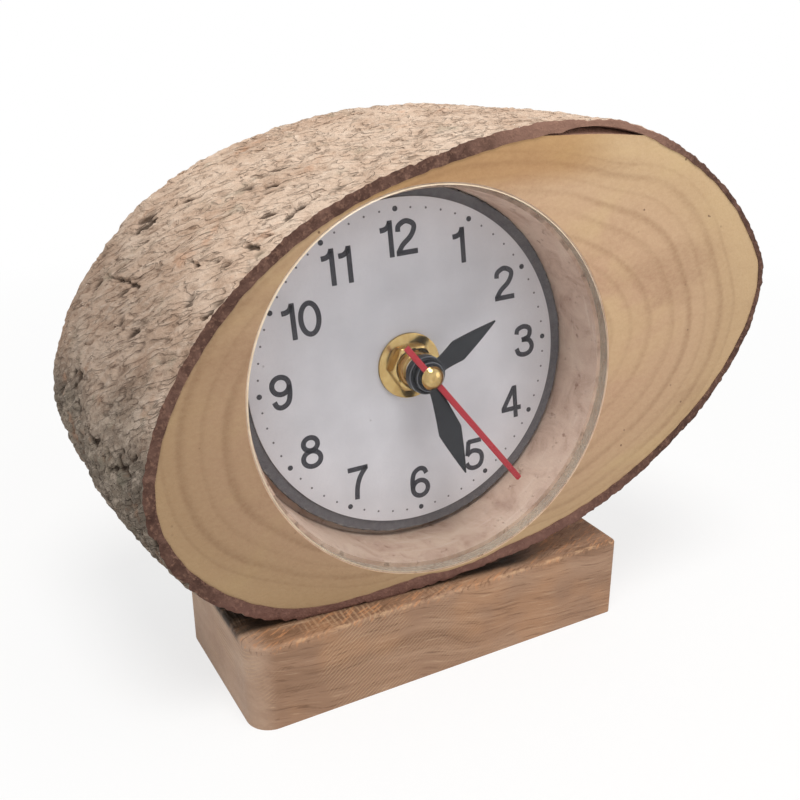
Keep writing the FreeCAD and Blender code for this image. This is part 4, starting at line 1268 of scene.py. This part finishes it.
def dress_movement():
    """Paints for the nodes that keep their CAD mesh."""
    dress_nodes(block_paint(), "base_block")
    dress_nodes(paper_paint(), "dial_face")
    dress_nodes(rubber_paint(), "rubber_washer")
    dress_nodes(copper_paint(), "coil_winding")
    dress_nodes(circuit_paint(), "circuit_board")
    dress_nodes(cell_paint(), "cell")
    for name, dark, light, roughness, nodes in (
            ("case_moulded", rgb(30, 30, 31), rgb(44, 44, 46), 0.42, ("front_case", "rear_case")),
            ("knob_moulded", rgb(34, 34, 35), rgb(50, 50, 52), 0.36, ("setting_knob",)),
            ("plate_moulded", rgb(226, 224, 216), rgb(238, 237, 231), 0.40, ("middle_plate", "coil_bobbin")),
            ("wheel_white", rgb(228, 226, 218), rgb(242, 240, 234), 0.36,
             ("centre_wheel", "third_wheel", "hour_wheel", "step_wheel")),
            ("wheel_black", rgb(36, 36, 38), rgb(56, 56, 58), 0.36, ("second_wheel", "setting_wheel")),
            ("rotor_dark", rgb(70, 68, 68), rgb(96, 94, 94), 0.40, ("rotor",))):
        dress_nodes(plastic_paint(name, dark, light, roughness), *nodes)
    for name, dark, light, roughness, nodes in (
            ("stator_rolled", rgb(150, 150, 154), rgb(196, 196, 200), 0.30, ("stator", "coil_core")),
            ("contact_plated", rgb(178, 176, 170), rgb(214, 212, 206), 0.22,
             ("positive_contact", "negative_contact")),
            ("screw_zinc", rgb(150, 150, 152), rgb(206, 206, 208), 0.26, ("base_screws",))):
        dress_nodes(steel_paint(name, dark, light, roughness), *nodes)


def build_pieces():
    cut = bark_cut_paint()
    add_piece("wood_skin", log_wood_mesh(), [log_wood_paint(), cut], "clock", "log_wood", "log_wood")
    add_piece("bark_skin", bark_mesh(), [bark_paint(), cut], "clock", "bark", "log_bark")
    acrylic = [lens_clear_paint(), lens_edge_paint(), lens_chamfer_paint()]
    add_piece("lens_disc", lens_mesh(), acrylic, "clock", "lens_clear", "lens")
    add_piece("board_ring", board_mesh(), [board_paint()], "clock", "board_grey", "dial_board")

    dark_print = print_paint("numeral_print", rgb(70, 70, 75), rgb(108, 108, 112))
    pale_print = print_paint("minute_print", rgb(112, 110, 114), rgb(160, 158, 162))
    hour_dots = dots_mesh("hour_dots", HOUR_DOT, range(0, 60, 5))
    minute_dots = dots_mesh("minute_dots", MINUTE_DOT, [m for m in range(60) if m % 5])
    add_piece("numerals", numerals_mesh(), [dark_print], "clock", "dial_paper")
    add_piece("hour_dots", hour_dots, [dark_print], "clock", "dial_paper")
    add_piece("minute_dots", minute_dots, [pale_print], "clock", "dial_paper")

    brass = brass_paint("brass_polished", 0.10)
    add_piece("washer_ring", washer_mesh(), [brass], "clock", "brass", "brass_washer")
    add_piece("nut_six", nut_mesh(), [brass], "clock", "brass", "hex_nut")
    add_piece("bush_tube", bush_mesh(), [brass], "clock", "brass", "threaded_bush")

    # The hands' second paint is a painted highlight on the hubs' front corners
    leaf = [paint_coat("hand_black_paint", rgb(20, 21, 25), rgb(40, 43, 50), 0.24),
            paint_coat("hand_edge_highlight", rgb(96, 98, 102), rgb(140, 142, 146), 0.30)]
    needle = [paint_coat("hand_red_paint", rgb(176, 34, 46), rgb(200, 62, 72), 0.42),
              plastic_paint("collar_moulded", rgb(206, 202, 192), rgb(222, 218, 208), 0.38)]
    add_piece("hour_leaf", pointed_hand_mesh("hour_hand", HOUR), leaf, "hour", "hand_black", "hour_hand")
    add_piece("minute_leaf", pointed_hand_mesh("minute_hand", MINUTE), leaf, "minute", "hand_black",
              "minute_hand")
    add_piece("second_needle", second_hand_mesh(), needle, "second", "hand_red", "second_hand")
    add_piece("cap_dome", cap_mesh(), [brass_paint("brass_cap", 0.04)], "second", "brass", "second_cap")


# Floor, lights and camera

CAMERA_AIM = Vector((0.35, 1.7, 58.9)) * MM
CAMERA_DISTANCE = 231.1 * MM
CAMERA_AZIMUTH = 28.78
CAMERA_ELEVATION = 22.17
CAMERA_ROLL = -0.2
CAMERA_LENS = 45.0
FLOOR_HALF = 40.0
FLOOR_WHITE = 0.92
# How much of the floor looks plain white up to the first distance; from the second on all of it does
NEAR_WHITE = 0.72
SHADOW_REACH = (0.16, 0.42)
ROOM_LIGHT = 0.55


def floor_and_world():
    """A white floor and a white room, which light the clock more gently than they look."""
    mesh = bpy.data.meshes.new("floor")
    h = FLOOR_HALF
    mesh.from_pydata([(-h, -h, 0), (h, -h, 0), (h, h, 0), (-h, h, 0)], [], [(0, 1, 2, 3)])
    floor = bpy.data.objects.new("floor", mesh)
    bpy.context.scene.collection.objects.link(floor)
    material = bpy.data.materials.new("floor_white")
    material.use_nodes = True
    mesh.materials.append(material)
    n = Nodes(material.node_tree)
    from_clock = n.distance(n.add("ShaderNodeTexCoord").outputs["Object"])
    white = n.add("ShaderNodeMapRange", from_clock, *SHADOW_REACH, NEAR_WHITE, 1.0).outputs[0]
    n.both(n.times(n.to_sight(), white), n.add("ShaderNodeBsdfDiffuse", grey(FLOOR_WHITE)),
           n.add("ShaderNodeEmission", grey(1.0), 1.0), n.add("ShaderNodeOutputMaterial"))

    world = bpy.data.worlds.new("studio")
    bpy.context.scene.world = world
    world.use_nodes = True
    n = Nodes(world.node_tree)
    n.both(n.to_sight(), n.add("ShaderNodeBackground", (1.0, 0.99, 0.98, 1.0), ROOM_LIGHT),
           n.add("ShaderNodeBackground", grey(1.0), 1.0), n.add("ShaderNodeOutputWorld"))


def lamp(name, at, power, size, colour):
    data = bpy.data.lights.new(name, "AREA")
    data.energy = power
    data.shape = "DISK"
    data.size = size
    data.color = colour
    light = bpy.data.objects.new(name, data)
    light.location = at
    light.rotation_euler = (CAMERA_AIM - Vector(at)).to_track_quat("-Z", "Y").to_euler()
    bpy.context.scene.collection.objects.link(light)


def lights():
    lamp("key", (-0.08, -0.26, 0.92), power=5.0, size=0.45, colour=(1.0, 0.99, 0.97))
    lamp("fill", (0.75, -0.70, 0.40), power=1.5, size=0.7, colour=(0.97, 0.985, 1.0))


def camera():
    az, el = math.radians(CAMERA_AZIMUTH), math.radians(CAMERA_ELEVATION)
    forward = Vector((math.sin(az) * math.cos(el), math.cos(az) * math.cos(el), -math.sin(el)))
    data = bpy.data.cameras.new("camera")
    data.lens = CAMERA_LENS
    data.sensor_width = 36.0
    data.clip_start = 0.01
    data.clip_end = 100.0
    eye = bpy.data.objects.new("camera", data)
    turn = forward.to_track_quat("-Z", "Y").to_matrix().to_4x4()
    roll = Matrix.Rotation(math.radians(CAMERA_ROLL), 4, "Z")
    eye.matrix_world = Matrix.Translation(CAMERA_AIM - forward * CAMERA_DISTANCE) @ turn @ roll
    bpy.context.scene.collection.objects.link(eye)
    bpy.context.scene.camera = eye


camera()
floor_and_world()
lights()
dress_movement()
build_pieces()

bpy.context.scene.view_settings.view_transform = "Standard"
